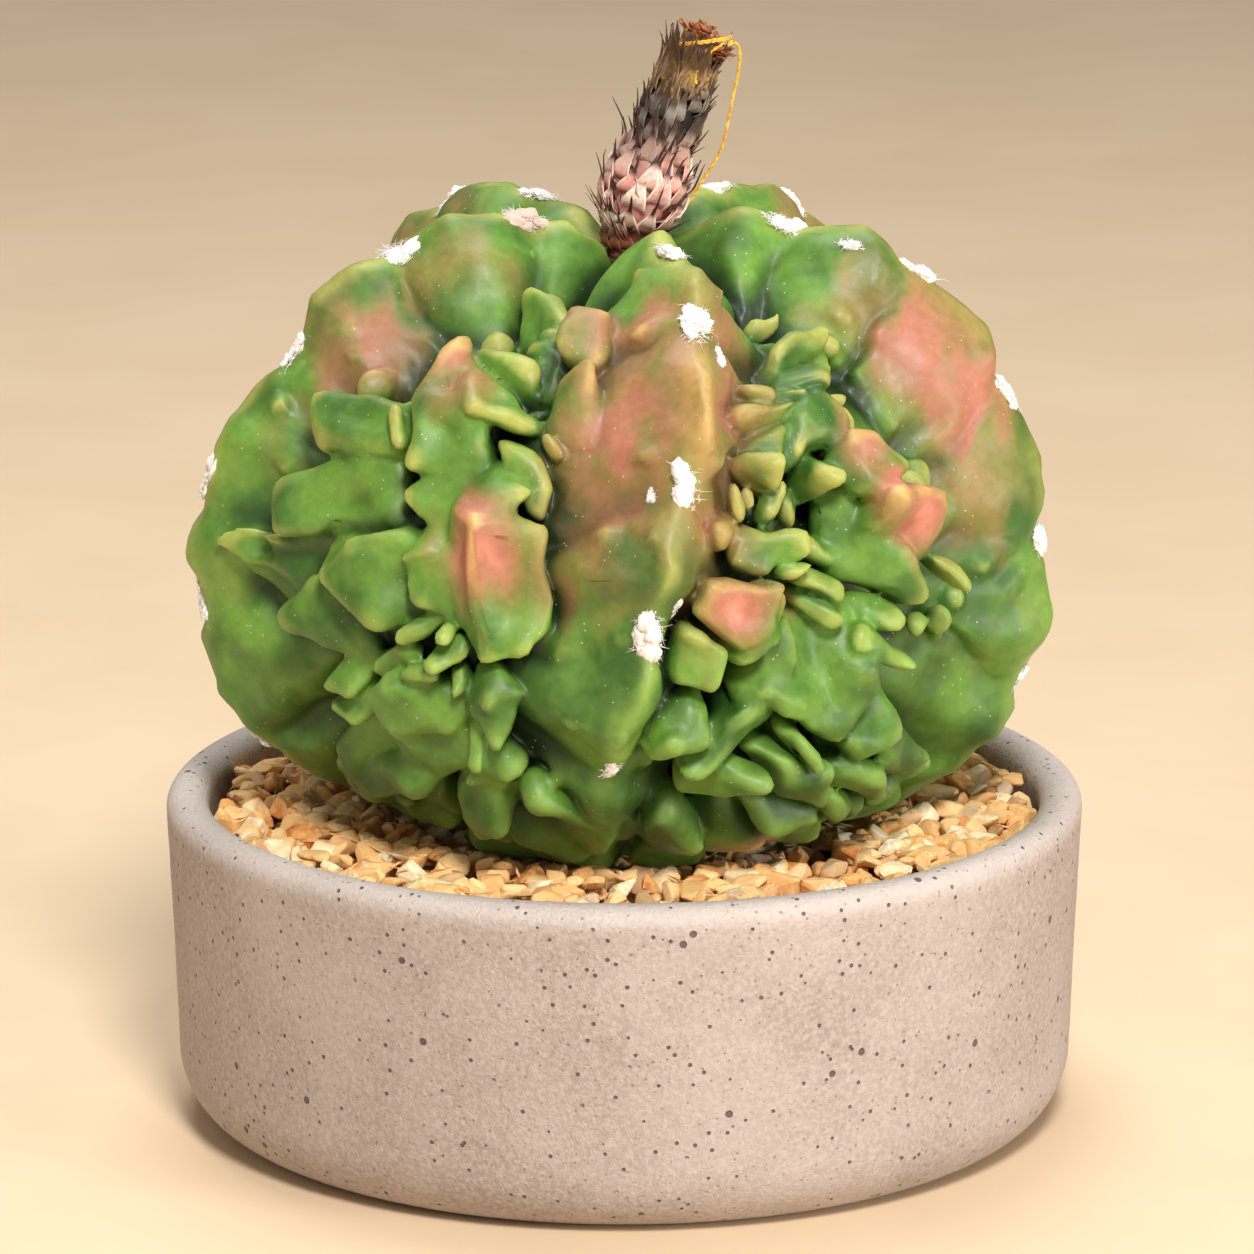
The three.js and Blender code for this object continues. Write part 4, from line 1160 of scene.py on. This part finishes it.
def wool_material():
    shade = Shade("areole_wool")
    tone = shade.span(shade.noise(1.8, 3.0), 0.35, 0.7)
    colour = shade.mix(tone, linear(240, 228, 222), linear(252, 250, 247))
    aged = shade.math("MULTIPLY", shade.span(shade.mark("age"), 0.6, 1.0), 0.75)
    colour = shade.mix(aged, colour, linear(206, 160, 138))
    fibres = shade.noise(0.22, 2.0)
    shade.set(Base_Color=colour, Roughness=0.9, Normal=shade.bump(fibres, 0.8, 0.1))
    shade.surface.inputs["Subsurface Weight"].default_value = 0.25
    shade.surface.inputs["Subsurface Radius"].default_value = (1.0, 0.9, 0.85)
    shade.surface.inputs["Subsurface Scale"].default_value = 0.0008
    shade.surface.inputs["Sheen Weight"].default_value = 0.4
    return shade.material


def make_wool(plant):
    draw = random.Random(61)
    tree = skin_tree(plant)
    wool = Parts("age")
    for rib in RIBS:
        for climb in rib["areoles"]:
            size = draw.uniform(0.95, 1.15) if climb > -20 else draw.uniform(0.62, 0.8)
            aged = (rib["turn"], climb) == AGED_AREOLE
            add_tuft(wool, tree, float(rib_turn(rib, climb)), climb, size, draw, aged)
    for turn, climb, size, aged in SMALL_TUFTS:
        add_tuft(wool, tree, turn, climb, size, draw, aged)
    item = new_object("areole_wool", wool.points, wool.faces, wool.marks, wool_material())
    as_piece(item, "cactus_skin")


# Gravel: angular chips dropped on a bed until they cover it
GRAVEL_INNER = 22.0
GRAVEL_OUTER = 67.5
GRAVEL_BED = (42.3, 45.4)
GRAVEL_CEILING = 53.0
CHIP_TOTAL = 1600
CHIPS_A_LAYER = 480
GOLDEN_TURN = 137.5
HEIGHT_CELL = 0.8
PLANT_ENVELOPE = 55.2


def chip_shape(draw, half):
    """Corners and faces of one angular chip round its own middle."""
    cloud = bmesh.new()
    length = half
    width = half * draw.uniform(0.6, 0.95)
    thick = half * draw.uniform(0.42, 0.75)
    tilt = Matrix.Rotation(draw.uniform(-0.6, 0.6), 3, "X") @ Matrix.Rotation(draw.uniform(-0.6, 0.6), 3, "Y")
    turn = tilt @ Matrix.Rotation(draw.uniform(0, 2 * math.pi), 3, "Z")
    for _ in range(13):
        spot = Vector((draw.uniform(-1, 1), draw.uniform(-1, 1), draw.uniform(-1, 1)))
        spot = spot / max(abs(spot.x), abs(spot.y), abs(spot.z)) * draw.uniform(0.8, 1.0)
        spot = spot * (0.74 + 0.26 / max(spot.length, 0.6))
        cloud.verts.new(turn @ Vector((spot.x * length, spot.y * width, spot.z * thick)))
    made = bmesh.ops.convex_hull(cloud, input=cloud.verts)
    loose = [item for item in made["geom_interior"] if isinstance(item, bmesh.types.BMVert)]
    bmesh.ops.delete(cloud, geom=loose, context="VERTS")
    bmesh.ops.bevel(cloud, geom=cloud.edges[:], offset=0.09 * half, segments=1, affect="EDGES")
    cloud.normal_update()
    cloud.verts.index_update()
    points = [vert.co.copy() for vert in cloud.verts]
    faces = [tuple(vert.index for vert in face.verts) for face in cloud.faces]
    cloud.free()
    return points, faces


def gravel_ceiling(radius):
    past = max(radius - ARC_RADIUS, 0.0)
    under_plant = ARC_HEIGHT - math.sqrt(PLANT_ENVELOPE ** 2 - min(past, 50.0) ** 2) + 0.6
    return min(GRAVEL_CEILING, under_plant)


def add_shadow_bed(parts):
    rings = [(GRAVEL_INNER, GRAVEL_BED[0]), (GRAVEL_OUTER, GRAVEL_BED[0]), (GRAVEL_OUTER, GRAVEL_BED[1]),
             (GRAVEL_INNER, GRAVEL_BED[1])]
    sides = 96
    points = [(r * math.cos(2 * math.pi * i / sides), r * math.sin(2 * math.pi * i / sides), z)
              for r, z in rings for i in range(sides)]
    faces = []
    for ring in range(4):
        after = (ring + 1) % 4
        for i in range(sides):
            beside = (i + 1) % sides
            faces.append((ring * sides + i, ring * sides + beside, after * sides + beside, after * sides + i))
    # Painted shadow: the bed is dark brown so that the gaps between the chips look shaded
    parts.add(points, faces, tone=-0.8, shade=0.0)


def make_gravel():
    draw = random.Random(5)
    stones = Parts("tone", "shade")
    add_shadow_bed(stones)
    cells = int(70 / HEIGHT_CELL)
    heights = np.full((2 * cells + 1, 2 * cells + 1), GRAVEL_BED[1] - 0.4)
    for index in range(CHIP_TOTAL):
        half = draw.triangular(2.0, 4.5, 3.1) * (0.75 if index > 0.85 * CHIP_TOTAL else 1.0)
        points, faces = chip_shape(draw, half)
        share = (index % CHIPS_A_LAYER + draw.random()) / CHIPS_A_LAYER
        radius = math.sqrt(GRAVEL_INNER ** 2 + (GRAVEL_OUTER ** 2 - GRAVEL_INNER ** 2) * share)
        widest = max(point.xy.length for point in points)
        radius = min(radius, GRAVEL_OUTER - 0.8 * widest)
        angle = math.radians(GOLDEN_TURN * index + draw.uniform(-3, 3))
        x, y = radius * math.cos(angle), radius * math.sin(angle)
        spread = max(1, int(0.6 * widest / HEIGHT_CELL))
        row, column = int(round(x / HEIGHT_CELL)) + cells, int(round(y / HEIGHT_CELL)) + cells
        patch = heights[max(row - spread, 0):row + spread + 1, max(column - spread, 0):column + spread + 1]
        low = min(point.z for point in points)
        high = max(point.z for point in points)
        base = float(np.quantile(patch, 0.55)) - 0.25 * (high - low)
        z = base - low
        if z + high > gravel_ceiling(radius):
            z = gravel_ceiling(radius) - high
            if z + low < base - 2.6:
                continue
        np.maximum(patch, z + 0.55 * high, out=patch)
        middle = Vector((x, y, z))
        placed = [middle + point for point in points]
        stones.add(placed, faces, tone=draw.random(), shade=draw.random())
    item = new_object("gravel_chips", stones.points, stones.faces, stones.marks, gravel_material(), smooth=False)
    as_piece(item, "gravel", "gravel_top_dressing")


def gravel_material():
    shade = Shade("gravel_stone")
    tone, extra = shade.mark("tone"), shade.mark("shade")
    layers = shade.noise(2.2, 4.0, 0.6, 0.6)
    value = shade.math("ADD", tone, shade.math("MULTIPLY", shade.math("SUBTRACT", layers, 0.5), 0.9))
    # The darkest brown falls mostly on the bed, as painted shadow between the chips
    colour = shade.mix(shade.span(value, -0.5, -0.2), linear(112, 68, 34), linear(218, 140, 70))
    colour = shade.mix(shade.span(value, -0.1, 0.25), colour, linear(248, 194, 126))
    colour = shade.mix(shade.span(value, 0.3, 0.65), colour, linear(252, 208, 146))
    colour = shade.mix(shade.span(value, 0.72, 1.05), colour, linear(255, 236, 198))
    rust = shade.math("MULTIPLY", shade.span(shade.noise(1.1, 3.0), 0.55, 0.7), 0.3)
    colour = shade.mix(rust, colour, linear(196, 122, 60))
    colour = shade.mix(shade.span(extra, 0.92, 0.95, 0.0, 0.5), colour, linear(160, 126, 100))
    grain = shade.noise(0.5, 3.0, 0.6)
    normal = shade.bump(shade.noise(1.4, 4.0, 0.6), 0.6, 0.35)
    normal = shade.bump(grain, 0.35, 0.1, normal)
    shade.set(Base_Color=colour, Roughness=shade.span(layers, 0.3, 0.7, 0.55, 0.8), Normal=normal)
    shade.surface.inputs["Subsurface Weight"].default_value = 0.06
    shade.surface.inputs["Subsurface Scale"].default_value = 0.001
    return shade.material


# Concrete pot, turned with fine rounds, and the soil that shows in its drain hole
POT_RADIUS = 75.0
POT_HEIGHT = 55.4
POT_INNER = 68.0
POT_BASE_RADIUS = 73.3
POT_CORNER = 12.0
POT_FLOOR = 8.0
POT_RIM = 3.2
DRAIN_RADIUS = 6.0
POT_SIDES = 288


def arc(centre, height, radius, start, end, steps):
    angles = [math.radians(start + (end - start) * step / steps) for step in range(steps + 1)]
    return [(centre + radius * math.cos(angle), height + radius * math.sin(angle)) for angle in angles]


def split(start, end, steps):
    return [(start[0] + (end[0] - start[0]) * step / steps, start[1] + (end[1] - start[1]) * step / steps)
            for step in range(1, steps)]


def pot_profile():
    foot = arc(POT_BASE_RADIUS - POT_CORNER, POT_CORNER, POT_CORNER, -90, 0, 14)
    rim = [*arc(POT_RADIUS - POT_RIM, POT_HEIGHT - POT_RIM, POT_RIM, 0, 90, 7),
           *arc(POT_INNER + POT_RIM, POT_HEIGHT - POT_RIM, POT_RIM, 90, 180, 7)]
    inside = arc(POT_INNER - POT_CORNER, POT_FLOOR + POT_CORNER, POT_CORNER, 0, -90, 8)
    hole = [(DRAIN_RADIUS + 0.8, POT_FLOOR), *arc(DRAIN_RADIUS + 0.8, POT_FLOOR - 0.8, 0.8, 100, 180, 3),
            *arc(DRAIN_RADIUS + 0.8, 0.8, 0.8, 180, 260, 3)]
    base = [(DRAIN_RADIUS + 0.8, 0.0)]
    return [*base, *split(base[0], foot[0], 6), *foot, *split(foot[-1], rim[0], 18), *rim,
            *split(rim[-1], inside[0], 8), *inside, *split(inside[-1], hole[0], 6), *hole]


def make_pot():
    profile = pot_profile()
    count = len(profile)
    points, faces = [], []
    for radius, z in profile:
        for side in range(POT_SIDES):
            angle = 2 * math.pi * side / POT_SIDES
            spot = Vector((math.cos(angle), math.sin(angle), z / 40))
            wobble = 0.16 * noise.noise(spot * 1.8) + 0.05 * noise.noise(spot * 9)
            wobble *= min(1.0, z / 6.0)
            points.append(((radius + wobble) * spot.x, (radius + wobble) * spot.y, z))
    for ring in range(count):
        after = (ring + 1) % count
        for side in range(POT_SIDES):
            beside = (side + 1) % POT_SIDES
            faces.append((ring * POT_SIDES + side, ring * POT_SIDES + beside,
                          after * POT_SIDES + beside, after * POT_SIDES + side))
    item = new_object("concrete_pot", points, faces, {}, concrete_material())
    as_piece(item, "concrete", "pot")


def concrete_material():
    shade = Shade("cast_concrete")
    clouds = shade.noise(28.0, 4.0, 0.55)
    sand = shade.noise(0.9, 3.0, 0.6)
    colour = shade.mix(shade.span(clouds, 0.32, 0.7), linear(152, 138, 130), linear(174, 160, 153))
    colour = shade.mix(shade.span(sand, 0.3, 0.75, 0.0, 0.6), colour, linear(198, 184, 177))
    grains = shade.cells(1.3)
    dark_grain = shade.math("MULTIPLY", shade.span(grains, 0.16, 0.08), 0.35)
    colour = shade.mix(dark_grain, colour, linear(142, 112, 94))
    height = shade.separate(shade.places)[2]
    # Painted highlight: the top of the rim is lighter, as if lit from above
    rim = shade.span(height, 0.0505, 0.0552)
    colour = shade.mix(shade.math("MULTIPLY", rim, 0.5), colour, linear(222, 210, 203))
    pits = shade.span(shade.math("ADD", shade.cells(8.5), shade.math("MULTIPLY", sand, 0.02)), 0.09, 0.065)
    pinholes = shade.span(shade.cells(2.3), 0.17, 0.1)
    sparse = shade.span(shade.noise(5.0, 1.0), 0.42, 0.5)
    holes = shade.math("MAXIMUM", pits, shade.math("MULTIPLY", pinholes, sparse))
    specks = shade.math("MULTIPLY", shade.span(shade.cells(1.5), 0.2, 0.12),
                        shade.span(shade.noise(3.0, 2.0), 0.44, 0.56))
    colour = shade.mix(shade.math("MULTIPLY", specks, 0.6), colour, linear(128, 84, 66))
    colour = shade.mix(shade.math("MULTIPLY", holes, 0.85), colour, linear(78, 54, 44))
    skin = shade.noise(1.1, 3.0, 0.55, 1.6)
    relief = shade.math("SUBTRACT", shade.math("MULTIPLY", skin, 0.5), holes)
    normal = shade.bump(relief, 0.9, 0.55)
    normal = shade.bump(sand, 0.3, 0.12, normal)
    shade.set(Base_Color=colour, Roughness=shade.span(clouds, 0.3, 0.7, 0.6, 0.74), Normal=normal)
    return shade.material


def dress_soil():
    shade = Shade("potting_mix")
    crumbs = shade.noise(1.6, 5.0, 0.65)
    colour = shade.mix(shade.span(crumbs, 0.3, 0.7), linear(38, 28, 22), linear(92, 70, 52))
    bits = shade.span(shade.cells(2.2), 0.2, 0.1)
    colour = shade.mix(shade.math("MULTIPLY", bits, 0.6), colour, linear(170, 156, 138))
    shade.set(Base_Color=colour, Roughness=0.95, Normal=shade.bump(crumbs, 0.9, 0.8))
    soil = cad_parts["potting_soil"]
    soil.data.materials.clear()
    soil.data.materials.append(shade.material)


# Withered flower: scales round a leaning line, with bristly tips, and a crumpled tuft on top
STALK_LINE = [(-0.3, 0, 142.8), (0.6, 0, 148), (3.4, 0, 155.5), (6, 0, 162.4), (9.4, 0, 172), (13, 0, 181)]
FRUIT_RADII = [(143.6, 3.2), (147.6, 3.4), (150.5, 5.6), (154, 6.4), (158, 6.2), (161.6, 4.4)]
TUBE_RADII = [(161.2, 4.2), (165, 5.1), (169, 4.5), (172.6, 4.2), (176, 3.8), (179.8, 3.7)]
STALK_SAMPLES = smooth_line(STALK_LINE, 16)


def stalk_at(height):
    heights = [point.z for point in STALK_SAMPLES]
    across = [point.x for point in STALK_SAMPLES]
    here = float(np.interp(height, heights, across))
    if height > heights[-1]:
        here += (height - heights[-1]) * 0.42
    above = float(np.interp(height + 0.5, heights, across))
    slope = max((above - float(np.interp(height, heights, across))) / 0.5, 0.1)
    along = Vector((slope, 0.0, 1.0)).normalized()
    return Vector((here, 0.0, height)), along


def stalk_spot(height, turn, radius):
    centre, along = stalk_at(height)
    side = Vector((along.z, 0.0, -along.x))
    front = Vector((0.0, -1.0, 0.0))
    spoke = math.cos(math.radians(turn)) * side + math.sin(math.radians(turn)) * front
    return centre + radius * spoke, spoke, along


def add_core(parts, radii, share, rings, sides, **marks):
    low, high = radii[0][0], radii[-1][0]
    points, faces = [], []
    for ring in range(rings + 1):
        height = low + (high - low) * ring / rings
        for side in range(sides):
            radius = float(between(radii, height)) * share
            radius *= 1 + 0.08 * noise.noise(Vector((side * 0.9, ring * 0.7, low)))
            points.append(stalk_spot(height, 360 * side / sides, radius)[0])
    for ring in range(rings):
        for side in range(sides):
            beside = (side + 1) % sides
            faces.append((ring * sides + side, ring * sides + beside,
                          (ring + 1) * sides + beside, (ring + 1) * sides + side))
    faces.append(tuple(reversed(range(sides))))
    faces.append(tuple(rings * sides + side for side in range(sides)))
    parts.add(points, faces, **marks)


BLADE_SIDES = 8


def add_blade(parts, stations, tips, **marks):
    """A closed thin leaf. A station is its middle, across, outward, half width, half thickness, cup."""
    points = []
    for middle, across, out, half, thick, cup in stations:
        for corner in range(BLADE_SIDES):
            angle = 2 * math.pi * corner / BLADE_SIDES
            c, s = math.cos(angle), math.sin(angle)
            points.append(middle + across * (half * c) + out * (thick * s - cup * c * c))
    faces = []
    last = len(stations) - 1
    for ring in range(last):
        for corner in range(BLADE_SIDES):
            beside = (corner + 1) % BLADE_SIDES
            faces.append((ring * BLADE_SIDES + corner, ring * BLADE_SIDES + beside,
                          (ring + 1) * BLADE_SIDES + beside, (ring + 1) * BLADE_SIDES + corner))
    faces.append(tuple(reversed(range(BLADE_SIDES))))
    faces.append(tuple(last * BLADE_SIDES + corner for corner in range(BLADE_SIDES)))
    spread = [tip for tip in tips for _ in range(BLADE_SIDES)]
    rims = [abs(math.cos(2 * math.pi * corner / BLADE_SIDES)) ** 3 for corner in range(BLADE_SIDES)]
    parts.add(points, faces, tip=spread, rim=rims * len(tips), **marks)


# Width of a scale along its length, as a share of its greatest half width
SCALE_SHAPE = [(0.0, 1.0), (0.14, 0.96), (0.28, 0.76), (0.42, 0.46), (0.53, 0.22), (0.62, 0.11),
               (0.75, 0.1), (0.88, 0.08), (1.0, 0.02)]


TUBE_SHAPE = [(0.0, 0.7), (0.16, 1.0), (0.36, 0.92), (0.56, 0.66), (0.74, 0.38), (0.88, 0.16),
              (1.0, 0.03)]


def add_scale(parts, radii, foot, turn, length, half, flare, draw, shape=SCALE_SHAPE, **marks):
    stations, tips = [], []
    sway = draw.uniform(-0.5, 0.5)
    lift = flare * draw.uniform(0.6, 1.4)
    for share, width in shape:
        height = foot + length * share * 0.93
        radius = float(between(radii, min(height, radii[-1][0]))) * (0.72 if share < 0.1 else 0.97)
        radius += lift * (share ** 1.7) + 0.3 * math.sin(math.pi * min(share * 1.8, 1.0))
        place, spoke, along = stalk_spot(height, turn + sway * 14 * share * share, radius)
        across = along.cross(spoke).normalized()
        thick = 0.2 * (1 - 0.6 * share) if width > 0.15 else 0.6 * half * width
        stations.append((place, across, spoke, half * width, max(thick, 0.06), -0.3 * half * width))
        tips.append(share)
    add_blade(parts, stations, tips, **marks)


def add_bristles(parts, radii, count, low, high, length, draw):
    for _ in range(count):
        height, turn = draw.uniform(low, high), draw.uniform(0, 360)
        radius = float(between(radii, height))
        start, spoke, along = stalk_spot(height, turn, radius * 0.9)
        side = along.cross(spoke)
        reach = length * draw.uniform(0.5, 1.0)
        bend = draw.uniform(-0.6, 0.6)
        line = [start + spoke * (0.55 * reach * s) + along * (0.7 * reach * s) + side * (bend * reach * s * s)
                for s in (0.0, 0.35, 0.7, 1.0)]
        add_tube(parts, line, [0.12, 0.1, 0.07, 0.03], 4, tip=1.0, tone=draw.random())


def add_spiral(parts, radii, count, low, high, length, half, flare, draw, shape=SCALE_SHAPE):
    """Scales round the stalk in a spiral, each a little out of its place."""
    for index in range(count):
        share = (index + 0.5) / count
        foot = low + (high - low) * share + draw.uniform(-0.5, 0.5)
        turn = index * GOLDEN_TURN + draw.uniform(-16, 16)
        add_scale(parts, radii, foot, turn, length * draw.uniform(0.7, 1.25), half * draw.uniform(0.7, 1.25),
                  flare * draw.uniform(0.3, 1.5), draw, shape, tone=draw.random())


def make_flower():
    draw = random.Random(71)
    fruit = Parts("tip", "tone", "rim")
    add_core(fruit, FRUIT_RADII, 0.84, 26, 28, tone=0.5)
    add_spiral(fruit, FRUIT_RADII, 54, 147.0, 160.2, 9.2, 2.2, 3.0, draw)
    for _ in range(26):
        add_scale(fruit, FRUIT_RADII, draw.uniform(144.2, 148.8), draw.uniform(85, 240), draw.uniform(4, 6),
                  draw.uniform(1.2, 1.9), draw.uniform(1.4, 3.6), draw, tone=draw.random())
    add_bristles(fruit, FRUIT_RADII, 34, 149, 161, 3.8, draw)
    item = new_object("flower_fruit", fruit.points, fruit.faces, fruit.marks, fruit_material())
    as_piece(item, "fruit_skin", "fruit")
    tube = Parts("tip", "tone", "rim")
    add_core(tube, TUBE_RADII, 0.84, 24, 24, tone=0.1)
    add_spiral(tube, TUBE_RADII, 104, 160.0, 175.4, 6.4, 1.15, 1.9, draw, TUBE_SHAPE)
    for _ in range(18):
        add_scale(tube, TUBE_RADII, draw.uniform(170.5, 172.8), draw.uniform(62, 190), draw.uniform(8, 9.5),
                  draw.uniform(1.2, 1.8), draw.uniform(2.0, 3.0), draw, TUBE_SHAPE, tone=draw.random())
    add_bristles(tube, TUBE_RADII, 20, 163, 176, 2.6, draw)
    item = new_object("flower_tube", tube.points, tube.faces, tube.marks, tube_material())
    as_piece(item, "dried_scales", "dried_flower")
    petals = Parts("tip", "tone", "rim")
    for index in range(24):
        add_petal(petals, index * GOLDEN_TURN, draw)
    for _ in range(12):
        add_petal(petals, draw.uniform(-35, 60), draw, 1.3)
    item = new_object("flower_petals", petals.points, petals.faces, petals.marks, petal_material())
    as_piece(item, "dried_petal", "withered_petals")


def add_petal(parts, turn, draw, spread=0.0):
    start, spoke, along = stalk_spot(178.8 - 0.9 * spread, turn, draw.uniform(0.6, 3.2) + 0.9 * spread)
    side = along.cross(spoke)
    height, lean = draw.uniform(1.0, 3.2) - 0.6 * spread, draw.uniform(0.2, 2.6) + spread
    half = draw.uniform(0.6, 1.15)
    twist, curl = draw.uniform(-1.6, 1.6), draw.uniform(-1.2, 1.4)
    stations, tips = [], []
    for step in range(9):
        share = step / 8
        middle = start + along * (height * math.sin(share * 1.5)) + spoke * (lean * share ** 1.5)
        middle += side * (0.7 * math.sin(share * 5 + turn) * share + curl * share * share)
        angle = twist * share + 0.5 * math.sin(share * 9 + turn)
        across = side * math.cos(angle) + spoke * math.sin(angle)
        out = spoke * math.cos(angle) - side * math.sin(angle)
        width = half * (0.5 + 1.1 * share) * max(0.08, 1 - share ** 3)
        stations.append((middle, across, out, width, 0.09, 0.5 * width * math.sin(share * 7 + turn)))
        tips.append(share)
    add_blade(parts, stations, tips, tone=draw.random())


def fruit_material():
    shade = Shade("fruit_scales")
    tip, tone = shade.mark("tip"), shade.mark("tone")
    streaks = shade.noise(1.1, 3.0, 0.6)
    colour = shade.mix(tone, linear(226, 156, 144), linear(250, 222, 206))
    colour = shade.mix(shade.span(streaks, 0.46, 0.74, 0.0, 0.6), colour, linear(196, 104, 100))
    foot = shade.span(tip, 0.0, 0.16, 0.55, 0.0)
    colour = shade.mix(foot, colour, linear(140, 66, 60))
    rim = shade.math("MULTIPLY", shade.span(shade.mark("rim"), 0.3, 0.95), 0.75)
    colour = shade.mix(rim, colour, linear(255, 238, 224))
    height = shade.separate(shade.places)[2]
    colour = shade.mix(shade.span(height, 0.158, 0.163), colour, linear(168, 136, 126))
    colour = shade.mix(shade.span(height, 0.1515, 0.1475), colour, linear(120, 68, 48))
    colour = shade.mix(shade.span(tip, 0.4, 0.58), colour, linear(64, 32, 26))
    shade.set(Base_Color=colour, Roughness=0.5, Normal=shade.bump(streaks, 0.35, 0.2))
    shade.surface.inputs["Subsurface Weight"].default_value = 0.15
    shade.surface.inputs["Subsurface Scale"].default_value = 0.001
    return shade.material


def tube_material():
    shade = Shade("tube_scales")
    tip, tone = shade.mark("tip"), shade.mark("tone")
    streaks = shade.noise(0.9, 3.0, 0.6)
    patches = shade.noise(2.4, 2.0)
    height = shade.separate(shade.places)[2]
    grey = shade.mix(shade.span(tone, 0.2, 0.95), linear(50, 44, 40), linear(126, 116, 108))
    mauve = shade.mix(tone, linear(132, 98, 90), linear(188, 158, 148))
    brown = shade.mix(tone, linear(92, 58, 34), linear(158, 118, 62))
    colour = shade.mix(shade.span(height, 0.1655, 0.1625), grey, mauve)
    colour = shade.mix(shade.span(height, 0.1695, 0.1735), colour, brown)
    olive = shade.math("MULTIPLY", shade.span(patches, 0.52, 0.66), shade.span(height, 0.168, 0.173, 0.0, 0.85))
    colour = shade.mix(olive, colour, linear(176, 146, 44))
    colour = shade.mix(shade.span(streaks, 0.45, 0.72, 0.0, 0.7), colour, linear(54, 38, 30))
    pale = shade.math("MULTIPLY", shade.span(tone, 0.84, 0.92), 0.12)
    colour = shade.mix(pale, colour, linear(206, 196, 184))
    rim = shade.math("MULTIPLY", shade.span(shade.mark("rim"), 0.4, 0.95), 0.45)
    colour = shade.mix(rim, colour, linear(196, 172, 148))
    colour = shade.mix(shade.span(tip, 0.4, 0.62, 0.0, 0.85), colour, linear(62, 36, 26))
    shade.set(Base_Color=colour, Roughness=0.75, Normal=shade.bump(streaks, 0.5, 0.2))
    return shade.material


def petal_material():
    shade = Shade("dried_petals")
    tip, tone = shade.mark("tip"), shade.mark("tone")
    streaks = shade.noise(0.7, 3.0, 0.6)
    colour = shade.mix(tone, linear(128, 66, 32), linear(206, 128, 62))
    colour = shade.mix(shade.span(streaks, 0.4, 0.7, 0.0, 0.65), colour, linear(92, 42, 22))
    colour = shade.mix(shade.span(tip, 0.7, 1.0, 0.0, 0.5), colour, linear(196, 116, 66))
    shade.set(Base_Color=colour, Roughness=0.7, Normal=shade.bump(streaks, 0.5, 0.15))
    shade.surface.inputs["Subsurface Weight"].default_value = 0.1
    shade.surface.inputs["Subsurface Scale"].default_value = 0.0008
    return shade.material


make_wool(plant)
make_gravel()
make_pot()
dress_soil()
make_flower()
